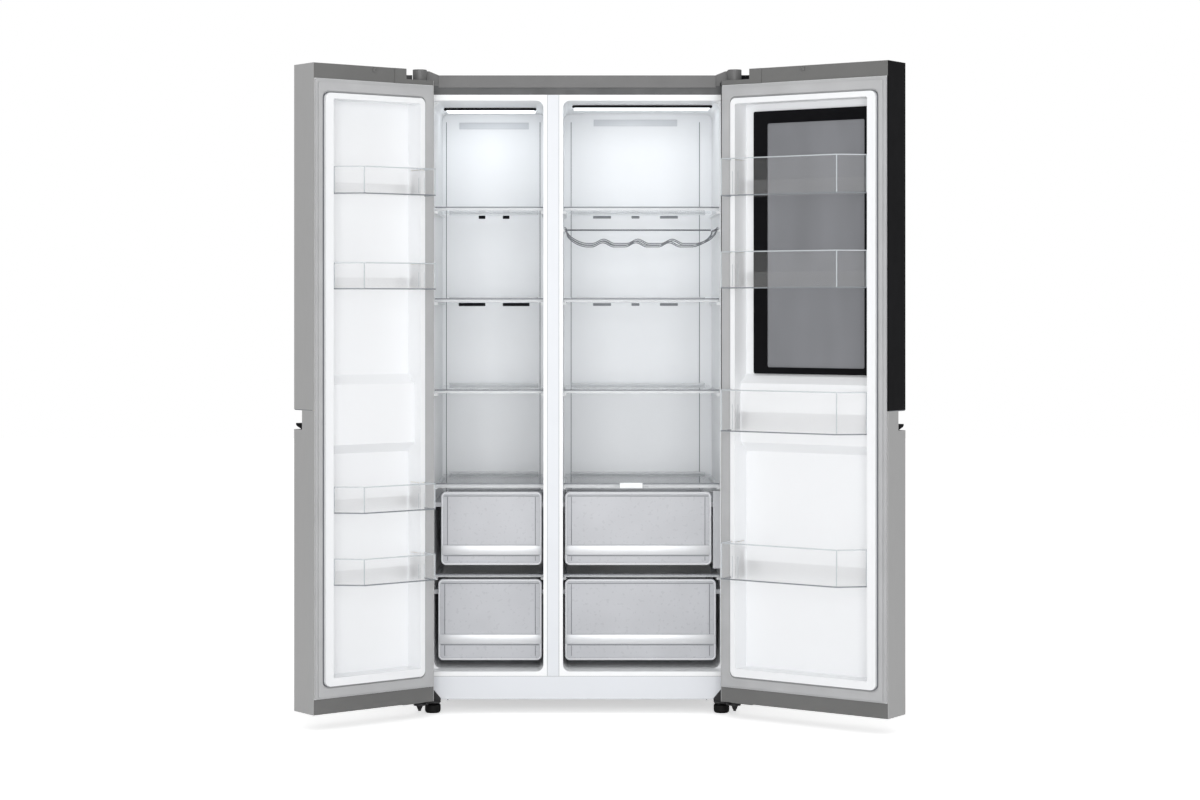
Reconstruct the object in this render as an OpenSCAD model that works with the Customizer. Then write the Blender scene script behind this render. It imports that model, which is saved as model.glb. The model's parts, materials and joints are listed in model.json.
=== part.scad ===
// Side by side refrigerator with both doors standing open.
// Left compartment is the freezer, right compartment is the fresh food side.
// Inside this file x runs to the right, y to the back and z up, with x = 0 on the
// middle of the case, y = 0 on the front face of the case and z = 0 on the floor.
// place() then moves everything so that the origin is the middle of the open
// appliance's outline on the floor.

/* [Case] */
// Width of the case
case_w = 913; // [840:1:1100]
// Depth of the case behind the doors
case_d = 627; // [560:1:760]
// Height of the case top above the floor
case_h = 1750; // [1600:1:2100]
// Height of the base plate above the floor
base_z = 38; // [34:1:60]
// Thickness of the steel sheet of the case and door skins
sheet_t = 1.5; // [1:0.1:2]
// Height of the hinge covers above the case top
cover_h = 40; // [34:1:50]

/* [Compartments] */
// Side insulation between case and compartment
side_wall = 53.5; // [50:0.5:70]
// Side insulation at the flared mouth of each compartment
mouth_wall = 36.5; // [34:0.5:44]
// Depth of the flared mouth
mouth_d = 63; // [61:0.5:64]
// Distance of the mullion's middle beyond the freezer door's free edge
mullion_off = -0.5; // [-4:0.5:4]
// Width of the mullion between the two compartments
mullion_w = 54; // [52:1:70]
// Height of the compartment floors
floor_z = 116; // [110:1:125]
// Thickness of the top insulation
roof_wall = 41; // [38:1:60]
// Distance from the case front to the rear liner wall
liner_d = 560; // [520:1:570]
// Wall of the plastic liners
liner_t = 1.5; // [1.2:0.1:3]
// Corner radius of the compartments
liner_r = 20; // [10:1:30]
// Distance from the case front to the air duct panels
duct_y = 500; // [470:1:515]

/* [Machine room] */
// Distance from the case front to the machine room wall
machine_y = 425; // [415:1:435]
// Height of the machine room roof above the floor
machine_z = 285; // [270:1:300]
// Insulation around the machine room
machine_wall = 44; // [40:1:50]

/* [Shelves] */
// Top of the upper glass shelf
shelf_z1 = 1415; // [1380:1:1450]
// Top of the middle glass shelf
shelf_z2 = 1157; // [1120:1:1190]
// Top of the lower glass shelf
shelf_z3 = 900; // [880:1:930]
// Top of the cover shelf over the upper drawers
cover_z = 636; // [632:1:645]
// Top of the divider shelf over the lower drawers
divider_z = 380; // [378:1:390]
// Distance from the case front to the shelf fronts
shelf_y = 66; // [65:1:70]
// Distance from the shelf back to the duct panel
shelf_back_gap = 20; // [10:1:40]
// Thickness of the shelf glass
glass_t = 4; // [3:0.5:6]
// Height of the shelf trims
trim_h = 10; // [8:1:14]

/* [Drawers] */
// Bottom of the lower drawers
low_drawer_z = 138; // [136:1:145]
// Height of the lower drawers
low_drawer_h = 228; // [200:1:229]
// Bottom of the upper drawers
top_drawer_z = 406; // [400:1:420]
// Height of the upper drawers
top_drawer_h = 206; // [180:1:207]
// Wall of the drawer bins
bin_t = 2.5; // [2:0.5:4]
// Thickness of the drawer fronts
front_t = 12; // [8:1:18]
// Height of the handle band on a drawer front
band_h = 26; // [20:1:36]
// Height of the band above the bottom of an upper drawer
top_band_z = 29; // [20:1:60]
// Height of the band above the bottom of a lower drawer
low_band_z = 46; // [20:1:60]

/* [Doors] */
// Width of the freezer door
freezer_door_w = 390; // [340:1:450]
// Gap between the two doors
door_gap = 4; // [3:0.5:8]
// Thickness of the doors
door_t = 100; // [90:1:110]
// Bottom of the doors
door_z0 = 44; // [43:1:46]
// Height of the door above the case top
door_rise = 36; // [32:1:38]
// Gap between door and case
door_off = 8; // [7.8:0.1:9]
// Distance of the hinge pin from the case side
pin_a = 20; // [18:1:24]
// Distance of the hinge pin from the case front
pin_b = 48; // [47:1:52]
// Radius of the outer corner beside the hinge
hinge_corner_r = 42; // [40:1:48]
// Angle of the open freezer door
freezer_open = 142; // [95:1:143]
// Angle of the open fridge door
fridge_open = 145; // [95:1:146]
// Height of the end caps of the doors
cap_h = 41; // [36:1:45]
// Radius of the hinge pins
pin_r = 6; // [5:0.5:7]
// Radial clearance of a hinge pin in its bore
pin_clear = 0.08; // [0.03:0.01:0.1]
// Height of the dyke of the door liner above the inner face
dyke_h = 15; // [8:1:18]
// Depth of the door liner below the inner face
recess_d = 46; // [30:1:50]

/* [Door pocket] */
// Top of the handle pocket
pocket_z1 = 858; // [840:1:900]
// Height of the handle pocket
pocket_h = 54; // [40:1:60]
// Depth of the handle pocket from the outer face
pocket_d = 43; // [30:1:46]
// Distance from the pocket's closed end to the door's hinge edge
pocket_end = 60; // [50:1:90]

/* [Door baskets] */
// How far the baskets stand out from the inner face
basket_out = 67; // [60:1:68]
// Depth of the baskets
basket_d = 104; // [90:1:108]
// Wall of the baskets
basket_t = 2.5; // [2:0.5:4]
// Distance from the hinge edge to a basket
basket_hinge_gap = 41; // [40:1:60]
// Distance from the dyke at the free edge to the baskets, freezer door and fridge door
basket_free_gap = [5, 4]; // [2:1:20]
// Size of a basket's slanted end
basket_cut = 58; // [30:1:60]

/* [Feet and rollers] */
// Radius of a levelling foot
foot_r = 22; // [16:1:24]
// Height of the foot pad
foot_h = 24; // [18:1:26]
// Radius of a foot's threaded stud
stud_r = 5; // [4:0.5:6]
// Radius of a rear roller
roller_r = 17; // [14:0.5:17]
// Width of a rear roller
roller_w = 24; // [18:1:30]

/* [Hidden] */
$fn = 48;
e = 0.01; // sliver used where one cut has to pass a face

// compartments
mullion_x = -case_w / 2 + freezer_door_w + mullion_off;
mullion_l = mullion_x - mullion_w / 2;
mullion_r = mullion_x + mullion_w / 2;
freezer_x0 = -case_w / 2 + side_wall;
freezer_x1 = mullion_l;
fridge_x0 = mullion_r;
fridge_x1 = case_w / 2 - side_wall;
mouth_x = case_w / 2 - mouth_wall;
ceiling_z = case_h - roof_wall;
step_y = machine_y - machine_wall;
step_z = machine_z + machine_wall;
flange_in = 12.5;
flange_z0 = floor_z - 13;
flange_z1 = ceiling_z + 16;
seam = 0.4;
strip_half = 16.4;
strip_h = 29; // top strip between the hinge covers
strip_d = 62;
strip_t = 2;
plate_t = 2; // base plate
base_top = base_z + plate_t;
runner_in = 90; // runners under the base plate
runner_t = 4;
runner_h = 12;
ledge_w = 9; // ledges under the shelves
ledge_h = 7.5;
duct_t = 6;

// shelves and drawers
shelf_gap = 2;
shelf_y1 = duct_y - shelf_back_gap;
shelf_bow = 4;
trim_d = 12;
drawer_y = shelf_y + 3;
front_r = 14; // round corners of a drawer front
frame_w = 7; // raised frame of a drawer front
panel_sink = 2; // how far the panel lies behind the frame
bin_in = 10; // the bin is narrower than its front on each side
bin_lift = 8;
bin_drop = 22;
lip_t = 8; // side lips that slide on the rails
lip_in = 3;
rail_h = 12;
rail_gap = 1;
low_drawer_y1 = step_y - 8;
top_drawer_y1 = duct_y - 35;
low_side = 12;
top_side = 20;
fridge_top_side = 25;
mullion_side = 6;
slider_w = 64;
slider_x = fridge_x0 + 160;
slider_z = cover_z - glass_t - 5;

// doors: local x runs from the pin to the free edge, local y towards the case when shut
pin_x = case_w / 2 - pin_a;
fridge_door_w = case_w - freezer_door_w - door_gap;
inner_y = pin_b - door_off;
outer_y = inner_y - door_t;
door_z1 = case_h + door_rise;
liner_z0 = door_z0 + cap_h;
liner_z1 = door_z1 - cap_h;
mouth_clear = 2.5;
gasket_t = door_off - 0.6;
gasket_w = 18;
gasket_hinge_w = 24;
gasket_end_w = 29;
dyke_w = 15;
dyke_free_w = 25;
dyke_low_w = 22;
dyke_r = 16;
fridge_dyke_gap = 6;
panel_return = 4;
skin_in = sheet_t;
notch_z = case_h + 8;
notch_x = 72;
notch_skin_x = hinge_corner_r - pin_a + 2;
pin_len = 28;
block_w = 38; // raised block on the door caps
block_out = 2;
bump_r = 6;
cam_t = 6; // plate under the bottom cap
lining_t = 2; // lining of the handle pocket
finger_h = 17;
boss_r = 14;
boss_len = 20;
bulge_z0 = pocket_z1 - 97;
bulge_z1 = pocket_z1 + 66;
bulge_d = 16;
bulge_slope = 25;
pocket_z0 = pocket_z1 - pocket_h;
// distance from a door's free edge to its dyke, and to its baskets
freezer_free = mullion_w / 2 - mullion_off + mouth_clear;
fridge_free = mullion_r - (case_w / 2 - fridge_door_w) + mouth_clear + fridge_dyke_gap;
freezer_basket_end = freezer_free + dyke_free_w + basket_free_gap[0];
fridge_basket_end = fridge_free + dyke_free_w + basket_free_gap[1];
// bottom, height and depth of each basket
freezer_baskets = [[387, 72, basket_d], [580, 72, basket_d], [1181, 72, basket_d],
                   [1437, 74, basket_d]];
fridge_baskets = [[390, 100, basket_d], [794, 114, basket_out + bulge_d - 3],
                  [1184, 101, basket_d], [1436, 103, basket_d]];

// window of the fridge door
window_x0 = 62;
window_z0 = 950;
window_z1 = 1671;
window_side = 43;
window_top = 34;
window_bottom = 18;
window_r = 5;
window_frame_t = 8;
window_t = 5;
front_glass_t = 4;

// hinges
arm_t = 5;
arm_half = 17;
arm_z = case_h + 10;
cover_end_r = 19;
cover_w = 70;
cover_y1 = 90;
hinge_foot_w = 26;
hinge_foot_y = 76;
hinge_hole_r = 4;
cover_t = 1.8;
cover_roof = 13;
low_arm_z = 30;
low_pin_top = door_z0 + 28;

// feet
foot_x = pin_x - 33;
foot_y = 15;
roller_x = case_w / 2 - 55;
roller_y = case_d - 45;
gland_len = 14;
axle_r = 4;

// origin: middle of the outline that the open appliance covers
function door_pt(x, y, angle) =
  [x * cos(angle) + y * sin(angle), -x * sin(angle) + y * cos(angle)];
free_l = freezer_door_w - pin_a;
free_r = fridge_door_w - pin_a;
outline_x0 = -pin_x + door_pt(free_l, outer_y, freezer_open)[0];
outline_x1 = pin_x - door_pt(free_r, outer_y, fridge_open)[0];
basket_corner = door_pt(free_r - fridge_basket_end, inner_y + basket_out - basket_cut, fridge_open);
outline_y0 = -pin_b + min(door_pt(free_r, inner_y, fridge_open)[1],
                          door_pt(free_l, inner_y, freezer_open)[1], basket_corner[1]);
origin_x = (outline_x0 + outline_x1) / 2;
origin_y = (outline_y0 + case_d + gland_len) / 2;

module place() { translate([-origin_x, -origin_y, 0]) children(); }
module left_door() {
  place() translate([-pin_x, -pin_b, 0]) rotate([0, 0, -freezer_open]) children();
}
module right_door() {
  place() translate([pin_x, -pin_b, 0]) rotate([0, 0, fridge_open]) mirror([1, 0, 0])
    children();
}

// ---- helpers ----
module box(lo, hi) { translate(lo) cube([hi[0] - lo[0], hi[1] - lo[1], hi[2] - lo[2]]); }
// rectangle with four round corners, from its low and high corner
module round_rect(lo, hi, r) {
  translate([lo[0] + r, lo[1]]) square([hi[0] - lo[0] - 2 * r, hi[1] - lo[1]]);
  translate([lo[0], lo[1] + r]) square([hi[0] - lo[0], hi[1] - lo[1] - 2 * r]);
  for (x = [lo[0] + r, hi[0] - r], z = [lo[1] + r, hi[1] - r]) translate([x, z]) circle(r);
}
// a shape drawn in x and z, stretched from y0 to y1
module along_y(y0, y1) {
  translate([0, y1, 0]) rotate([90, 0, 0]) linear_extrude(y1 - y0) children();
}
// a shape drawn in y and z, stretched from x0 to x1
module along_x(x0, x1) {
  translate([x0, 0, 0]) rotate([90, 0, 90]) linear_extrude(x1 - x0) children();
}
module rod_x(x0, x1, r) { translate([x0, 0, 0]) rotate([0, 90, 0]) cylinder(x1 - x0, r, r); }
module rod_y(y0, y1, r) { translate([0, y0, 0]) rotate([-90, 0, 0]) cylinder(y1 - y0, r, r); }

// ---- case ----
module case_shell() color([0.55, 0.56, 0.57]) place() difference() {
  box([-case_w / 2, 0, base_z], [case_w / 2, case_d, case_h]);
  box([-case_w / 2 + sheet_t, sheet_t, base_z - 1],
      [case_w / 2 - sheet_t, case_d + 1, case_h - sheet_t]);
  box([-case_w / 2 + flange_in, -1, base_z - 1],
      [case_w / 2 - flange_in, sheet_t + 1, flange_z1]);
}

// the hollow of one compartment, grown by g for the outside of its liner
module compartment(x0, x1, m0, m1, g) {
  difference() {
    union() {
      along_y(-e, liner_d + g)
        round_rect([x0 - g, floor_z - g], [x1 + g, ceiling_z + g], liner_r + g);
      along_y(-e, mouth_d + g)
        round_rect([m0 - g, floor_z - g], [m1 + g, ceiling_z + g], liner_r + g);
    }
    box([x0 - 20, step_y + g, floor_z - 20], [x1 + 20, liner_d + 20, step_z - g]);
  }
}
module freezer_hollow(g) { compartment(freezer_x0, freezer_x1, -mouth_x, freezer_x1, g); }
module fridge_hollow(g) { compartment(fridge_x0, fridge_x1, fridge_x0, mouth_x, g); }

// ledges that carry the glass shelves
module shelf_ledges(x0, x1) {
  for (z = [shelf_z1, shelf_z2, shelf_z3, cover_z, divider_z], x = [x0 - e, x1 - ledge_w + e])
    box([x, shelf_y + 24, z - trim_h - 0.5 - ledge_h],
        [x + ledge_w, shelf_y1, z - trim_h - 0.5]);
}
module liner_flange(x0, x1) { along_y(0, liner_t) round_rect([x0, flange_z0], [x1, flange_z1], 1); }

module freezer_liner() color([0.95, 0.96, 0.97]) place() {
  difference() {
    union() {
      translate([0, 2 * e, 0]) freezer_hollow(liner_t);
      liner_flange(-case_w / 2 + flange_in + seam, mullion_x - strip_half - seam);
    }
    freezer_hollow(0);
  }
  shelf_ledges(freezer_x0, freezer_x1);
}
module fridge_liner() color([0.95, 0.96, 0.97]) place() {
  difference() {
    union() {
      translate([0, 2 * e, 0]) fridge_hollow(liner_t);
      liner_flange(mullion_x + strip_half + seam, case_w / 2 - flange_in - seam);
    }
    fridge_hollow(0);
  }
  shelf_ledges(fridge_x0, fridge_x1);
  // ledges for the ends of the bottle rack
  for (x = [fridge_x0 - e, fridge_x1 - 4.5 + e])
    box([x, shelf_y + 20, rack_z + 30], [x + 4.5, shelf_y + 280, rack_z + 36]);
}
module cabinet_foam() color([0.93, 0.88, 0.66]) place() difference() {
  box([-case_w / 2 + sheet_t, liner_t, base_top],
      [case_w / 2 - sheet_t, case_d - sheet_t, case_h - sheet_t]);
  translate([0, 2 * e, 0]) freezer_hollow(liner_t);
  translate([0, 2 * e, 0]) fridge_hollow(liner_t);
  box([-case_w, machine_y - 1, 0], [case_w, case_d + 1, machine_z + 1]);
}
module mullion_strip() color([0.93, 0.94, 0.95]) place()
  box([mullion_x - strip_half, 0, flange_z0], [mullion_x + strip_half, sheet_t, flange_z1]);

module top_cover() color([0.50, 0.51, 0.52]) place() difference() {
  box([-case_w / 2 + cover_w, -3, case_h - 5],
      [case_w / 2 - cover_w, strip_d, case_h + strip_h]);
  box([-case_w / 2, 0, case_h - 10], [case_w / 2, case_d, case_h]);
  box([-case_w / 2 + cover_w + strip_t, 0, case_h - 1],
      [case_w / 2 - cover_w - strip_t, strip_d - strip_t, case_h + strip_h - strip_t]);
}
module toe_cover() color([0.95, 0.95, 0.95]) place() difference() {
  box([-case_w / 2 + flange_in + seam, 0, base_top],
      [case_w / 2 - flange_in - seam, liner_t, flange_z0 - seam]);
  translate([mullion_x, 0, flange_z0 - 12]) rod_y(-1, 1, 1.5);
}
module back_panel() color([0.62, 0.64, 0.66]) place()
  box([-case_w / 2 + sheet_t, case_d - sheet_t, machine_z + 1],
      [case_w / 2 - sheet_t, case_d, case_h - sheet_t]);

module base_plate() color([0.45, 0.46, 0.48]) place() difference() {
  union() {
    box([-case_w / 2 + sheet_t, liner_t, base_z],
        [case_w / 2 - sheet_t, case_d - 3, base_top]);
    for (x = [-case_w / 2 + runner_in, case_w / 2 - runner_in - runner_t])
      box([x, 60, base_z - runner_h], [x + runner_t, case_d - 90, base_z]);
  }
  for (x = [-60 : 30 : 60]) box([x - 8, machine_y + 70, base_z - 1],
                                [x + 8, machine_y + 130, base_top + 1]);
}
module machine_room_wall() color([0.60, 0.62, 0.64]) place() {
  box([-case_w / 2 + sheet_t, machine_y - 1, base_top],
      [case_w / 2 - sheet_t, machine_y, machine_z]);
  box([-case_w / 2 + sheet_t, machine_y - 1, machine_z],
      [case_w / 2 - sheet_t, case_d - sheet_t, machine_z + 1]);
}
module machine_cover() color([0.42, 0.43, 0.45]) place() difference() {
  box([-case_w / 2 + 6, case_d - 2, base_top + 0.5], [case_w / 2 - 6, case_d, machine_z]);
  for (z = [base_z + 50 : 24 : machine_z - 40], s = [-1, 1])
    along_y(case_d - 5, case_d + 1)
      round_rect([s > 0 ? 60 : -360, z], [s > 0 ? 360 : -60, z + 7], 3);
}

// ---- cooling machine ----
comp_x = -200;
comp_y = machine_y + 98;
comp_z = base_top + 12;
comp_r = 68;
module compressor() color([0.08, 0.08, 0.09]) place() translate([comp_x, comp_y, comp_z]) {
  rotate_extrude($fn = 64) polygon([[0, 0], [comp_r * 0.7, 0],
    for (a = [-80 : 20 : 0]) [comp_r * (0.7 + 0.3 * cos(a)), 24 + 24 * sin(a)],
    [comp_r + 3, 70], [comp_r + 3, 76],
    for (a = [0 : 15 : 90]) [comp_r * cos(a), 92 + 58 * sin(a)]]);
  for (x = [-1, 1], y = [-1, 1]) translate([x * 62, y * 62, 0]) {
    translate([0, 0, -12]) cylinder(20, 11, 9);
  }
  box([-72, -72, 8], [72, 72, 11]);
  translate([comp_r - 6, 0, 60]) box([0, -22, -18], [30, 22, 18]);
  translate([0, comp_r - 6, 100]) rod_y(0, 24, 4);
}
coil_x0 = 130;
coil_x1 = 370;
coil_pitch = 22;
tray_h = 28;
tray_t = 3;
module condenser_coil() color([0.15, 0.15, 0.16]) place()
  translate([0, machine_y + 40, base_z + 46]) {
    for (row = [0 : 4], col = [0 : 4]) translate([0, col * coil_pitch, row * coil_pitch])
      rod_x(coil_x0, coil_x1, 4);
    for (x = [coil_x0 + 12 : 18 : coil_x1 - 8])
      box([x, -14, -14], [x + 1, 4 * coil_pitch + 14, 4 * coil_pitch + 14]);
  }
module drip_tray() color([0.20, 0.21, 0.22]) place() difference() {
  box([coil_x0 - 8, machine_y + 14, base_top],
      [coil_x1 + 8, machine_y + 160, base_top + tray_h]);
  box([coil_x0 - 8 + tray_t, machine_y + 14 + tray_t, base_top + tray_t],
      [coil_x1 + 8 - tray_t, machine_y + 160 - tray_t, base_top + tray_h + 1]);
}
fan_x = 50;
fan_y = machine_y + 86;
fan_z = base_z + 90;
fan_r = 60;
shaft_r = 3;
shaft_clear = 0.05;
// fan with pitched blades around local z
module fan_wheel(r, h, blades) {
  difference() {
    cylinder(h, r * 0.3, r * 0.3);
    translate([0, 0, 3]) cylinder(h, shaft_r + shaft_clear, shaft_r + shaft_clear);
  }
  for (i = [0 : blades - 1]) rotate([0, 0, i * 360 / blades])
    translate([r * 0.27, 0, h / 2]) rotate([32, 0, 0])
      translate([0, -r * 0.28, -0.8]) cube([r * 0.70, r * 0.56, 1.6]);
}
module condenser_fan_frame() color([0.12, 0.12, 0.13]) place() {
  translate([fan_x, 0, 0]) difference() {
    box([-14, fan_y - fan_r - 12, base_top], [14, fan_y + fan_r + 12, fan_z + fan_r + 12]);
    translate([0, fan_y, fan_z]) rod_x(-15, 15, fan_r + 3);
  }
  translate([fan_x, fan_y, fan_z]) {
    rod_x(8, 14, 14);
    rod_x(-9, 9, shaft_r);
  }
  for (a = [45 : 90 : 315]) translate([fan_x + 10, fan_y, fan_z]) rotate([a, 0, 0])
    box([0, -3, 10], [3, 3, fan_r + 5]);
}
module condenser_fan() color([0.75, 0.76, 0.78]) place()
  translate([fan_x - 13, fan_y, fan_z]) rotate([0, 90, 0]) fan_wheel(fan_r, 19, 7);

evap_z = step_z + 290;
module evaporator() color([0.80, 0.81, 0.83]) place() {
  for (row = [0 : 5], col = [0 : 1])
    translate([0, duct_y + 18 + col * 24, evap_z + 12 + row * 34])
      rod_x(freezer_x0 + 20, freezer_x1 - 20, 4);
  for (i = [0 : 17]) translate([freezer_x0 + 30 + i * (freezer_x1 - freezer_x0 - 61) / 17, 0, 0])
    box([0, duct_y + 8, evap_z], [1, duct_y + 54, evap_z + 194]);
}
evap_fan_x = (freezer_x0 + freezer_x1) / 2;
evap_fan_z = evap_z + 310;
module evaporator_fan() color([0.86, 0.87, 0.88]) place()
  translate([evap_fan_x, duct_y + 40, evap_fan_z]) rotate([90, 0, 0]) fan_wheel(52, 18, 9);

// ---- inside of the cabinet ----
module duct_panel(x0, x1, groove0, groove1, slots, emboss) {
  difference() {
    along_y(duct_y, duct_y + duct_t)
      round_rect([x0 + 1, step_z + 60], [x1 - 1, ceiling_z - 4], liner_r);
    for (x = [groove0, groove1])
      box([x - 1.2, duct_y - 1, step_z + 80], [x + 1.2, duct_y + 2, ceiling_z - 23]);
    for (s = slots) along_y(duct_y - 1, duct_y + duct_t + 1)
      round_rect([s[0], s[2] - s[3] / 2], [s[1], s[2] + s[3] / 2], 2);
    along_y(duct_y - 1, duct_y + 1.5)
      round_rect([emboss[0], emboss[2]], [emboss[1], emboss[3]], 4);
  }
}
slot_z1 = shelf_z1 - 14;
slot_z2 = shelf_z2 - 17;
module freezer_duct_panel() color([0.96, 0.97, 0.98]) place() {
  mid = evap_fan_x;
  duct_panel(freezer_x0, freezer_x1, freezer_x0 + 12, freezer_x1 - 17,
    [[mid - 46, mid - 26, slot_z1, 10], [mid + 26, mid + 46, slot_z1, 10],
     [mid - 106, mid - 26, slot_z2, 10], [mid + 26, mid + 106, slot_z2, 10]],
    [mid - 106, mid + 106, ceiling_z - 47, ceiling_z - 23]);
  // shroud and shaft of the fan
  translate([mid, duct_y + duct_t - e, evap_fan_z]) {
    difference() {
      rod_y(0, 40, 60);
      rod_y(-1, 41, 56);
    }
    rod_y(0, 29, shaft_r);
    rod_y(0, 12, 4 * shaft_r);
  }
}
module fridge_duct_panel() color([0.96, 0.97, 0.98]) place() {
  mid = fridge_x0 + 214.5;
  duct_panel(fridge_x0, fridge_x1, fridge_x0 + 22, fridge_x1 - 37,
    [for (z = [slot_z1, slot_z2], s = [[-127, -73], [-12, 12], [73, 127]])
      [mid + s[0], mid + s[1], z, 8]],
    [mid - 127, mid + 127, ceiling_z - 38, ceiling_z - 14]);
}
module lamp(x0, x1, y0) {
  box([x0, y0, ceiling_z - 7], [x1, y0 + 8, ceiling_z]);
  box([x0 + 3, y0 + 8, ceiling_z - 5], [x1 - 3, y0 + 150, ceiling_z]);
}
module ceiling_lamps() color([0.98, 0.98, 0.99]) place() {
  lamp(freezer_x0 + liner_r, freezer_x1 - 26, 248);
  lamp(fridge_x0 + 28, fridge_x1 - 20, 150);
}

// outline of a shelf in plan with its bowed front edge
module shelf_plan(x0, x1, y0, y1, bow) {
  n = 16;
  polygon([for (i = [0 : n]) [x0 + (x1 - x0) * i / n, y0 - bow * (1 - pow(2 * i / n - 1, 2))],
           [x1, y1], [x0, y1]]);
}
module shelf_glass(x0, x1, z, y1) {
  translate([0, 0, z - glass_t - 1]) linear_extrude(glass_t)
    shelf_plan(x0 + 3, x1 - 3, shelf_y + trim_d - 4, y1 - 3, shelf_bow);
}
module shelf_trim(x0, x1, z, y1, h) {
  difference() {
    translate([0, 0, z - h]) linear_extrude(h) difference() {
      shelf_plan(x0, x1, shelf_y + shelf_bow, shelf_y + trim_d, shelf_bow);
      translate([x0 - 1, shelf_y + trim_d]) square([x1 - x0 + 2, trim_d]);
    }
    shelf_glass(x0, x1, z, y1);
  }
  difference() {
    box([x0 + 20, y1 - 10, z - 8], [x1 - 20, y1, z + 5]);
    shelf_glass(x0, x1, z, y1);
  }
}
all_shelves = [for (z = [shelf_z1, shelf_z2, shelf_z3]) [z, trim_h, shelf_y1],
               [cover_z, trim_h + 3, shelf_y1], [divider_z, trim_h - 2, step_y + 60]];
module freezer_shelves() color([0.80, 0.88, 0.90, 0.5]) place()
  for (s = all_shelves)
    shelf_glass(freezer_x0 + shelf_gap, freezer_x1 - shelf_gap, s[0], s[2]);
module fridge_shelves() color([0.80, 0.88, 0.90, 0.5]) place()
  for (s = all_shelves)
    shelf_glass(fridge_x0 + shelf_gap, fridge_x1 - shelf_gap, s[0], s[2]);
module freezer_shelf_trims() color([0.80, 0.81, 0.82]) place()
  for (s = all_shelves)
    shelf_trim(freezer_x0 + shelf_gap, freezer_x1 - shelf_gap, s[0], s[2], s[1]);
module fridge_shelf_trims() color([0.80, 0.81, 0.82]) place() difference() {
  for (s = all_shelves)
    shelf_trim(fridge_x0 + shelf_gap, fridge_x1 - shelf_gap, s[0], s[2], s[1]);
  // guide slot of the humidity slider
  box([slider_x - 16, shelf_y - 5, slider_z - 2.5],
      [slider_x + slider_w + 16, shelf_y + trim_d - 6, slider_z + 2.5]);
}
module humidity_slider() color([0.97, 0.97, 0.97]) place() {
  box([slider_x, shelf_y - 4.5, cover_z - 13], [slider_x + slider_w, shelf_y - 0.4, cover_z + 2]);
  box([slider_x + 12, shelf_y - 0.4 - e, slider_z - 2.1],
      [slider_x + slider_w - 12, shelf_y + trim_d - 7, slider_z + 2.1]);
}

// ---- drawers ----
module drawer_front(x0, x1, z0, h, band_z) {
  b0 = z0 + band_z;
  b1 = b0 + band_h;
  difference() {
    along_y(drawer_y, drawer_y + front_t) round_rect([x0, z0], [x1, z0 + h], front_r);
    along_y(drawer_y - 1, drawer_y + panel_sink)
      round_rect([x0 + frame_w, z0 + frame_w], [x1 - frame_w, z0 + h - frame_w],
                 front_r - frame_w + panel_sink);
  }
  // handle band across the sunk panel
  along_x(x0 + frame_w - e, x1 - frame_w + e) polygon([
    [drawer_y + 0.3, b0], [drawer_y + 0.3, b1],
    [drawer_y + panel_sink + e, b1 + 3], [drawer_y + panel_sink + e, b0 - 3]]);
}
module drawer(x0, x1, z0, h, y1, band_z) {
  drawer_front(x0, x1, z0, h, band_z);
  difference() {
    union() {
      along_y(drawer_y + front_t - e, y1)
        round_rect([x0 + bin_in, z0 + bin_lift], [x1 - bin_in, z0 + h - bin_drop], 8);
      box([x0 + lip_in, drawer_y + front_t - e, z0 + h - bin_drop - lip_t],
          [x1 - lip_in, y1, z0 + h - bin_drop - e]);
    }
    along_y(drawer_y + front_t, y1 - bin_t)
      round_rect([x0 + bin_in + bin_t, z0 + bin_lift + bin_t], [x1 - bin_in - bin_t, z0 + h], 6);
    box([x0 + bin_in + bin_t, drawer_y + front_t, z0 + h / 2],
        [x1 - bin_in - bin_t, y1 - bin_t, z0 + h + 1]);
    for (s = [[x0 + lip_in - 1, x0 + bin_in], [x1 - bin_in, x1 - lip_in + 1]])
      box([s[0], drawer_y + front_t, z0 + h - 40], [s[1], y1 + 1, z0 + h - bin_drop - 3]);
  }
}
// inner x limits of the four drawers
fz_top = [freezer_x0 + top_side, freezer_x1 - mullion_side];
fz_low = [freezer_x0 + low_side, freezer_x1 - mullion_side];
fr_top = [fridge_x0 + mullion_side, fridge_x1 - fridge_top_side];
fr_low = [fridge_x0 + mullion_side, fridge_x1 - low_side];
module freezer_upper_drawer() color([0.74, 0.75, 0.77, 0.7]) place()
  drawer(fz_top[0], fz_top[1], top_drawer_z, top_drawer_h, top_drawer_y1, top_band_z);
module freezer_lower_drawer() color([0.74, 0.75, 0.77, 0.7]) place()
  drawer(fz_low[0], fz_low[1], low_drawer_z, low_drawer_h, low_drawer_y1, low_band_z);
module fridge_upper_drawer() color([0.74, 0.75, 0.77, 0.7]) place()
  drawer(fr_top[0], fr_top[1], top_drawer_z, top_drawer_h, top_drawer_y1, top_band_z);
module fridge_lower_drawer() color([0.74, 0.75, 0.77, 0.7]) place()
  drawer(fr_low[0], fr_low[1], low_drawer_z, low_drawer_h, low_drawer_y1, low_band_z);

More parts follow.
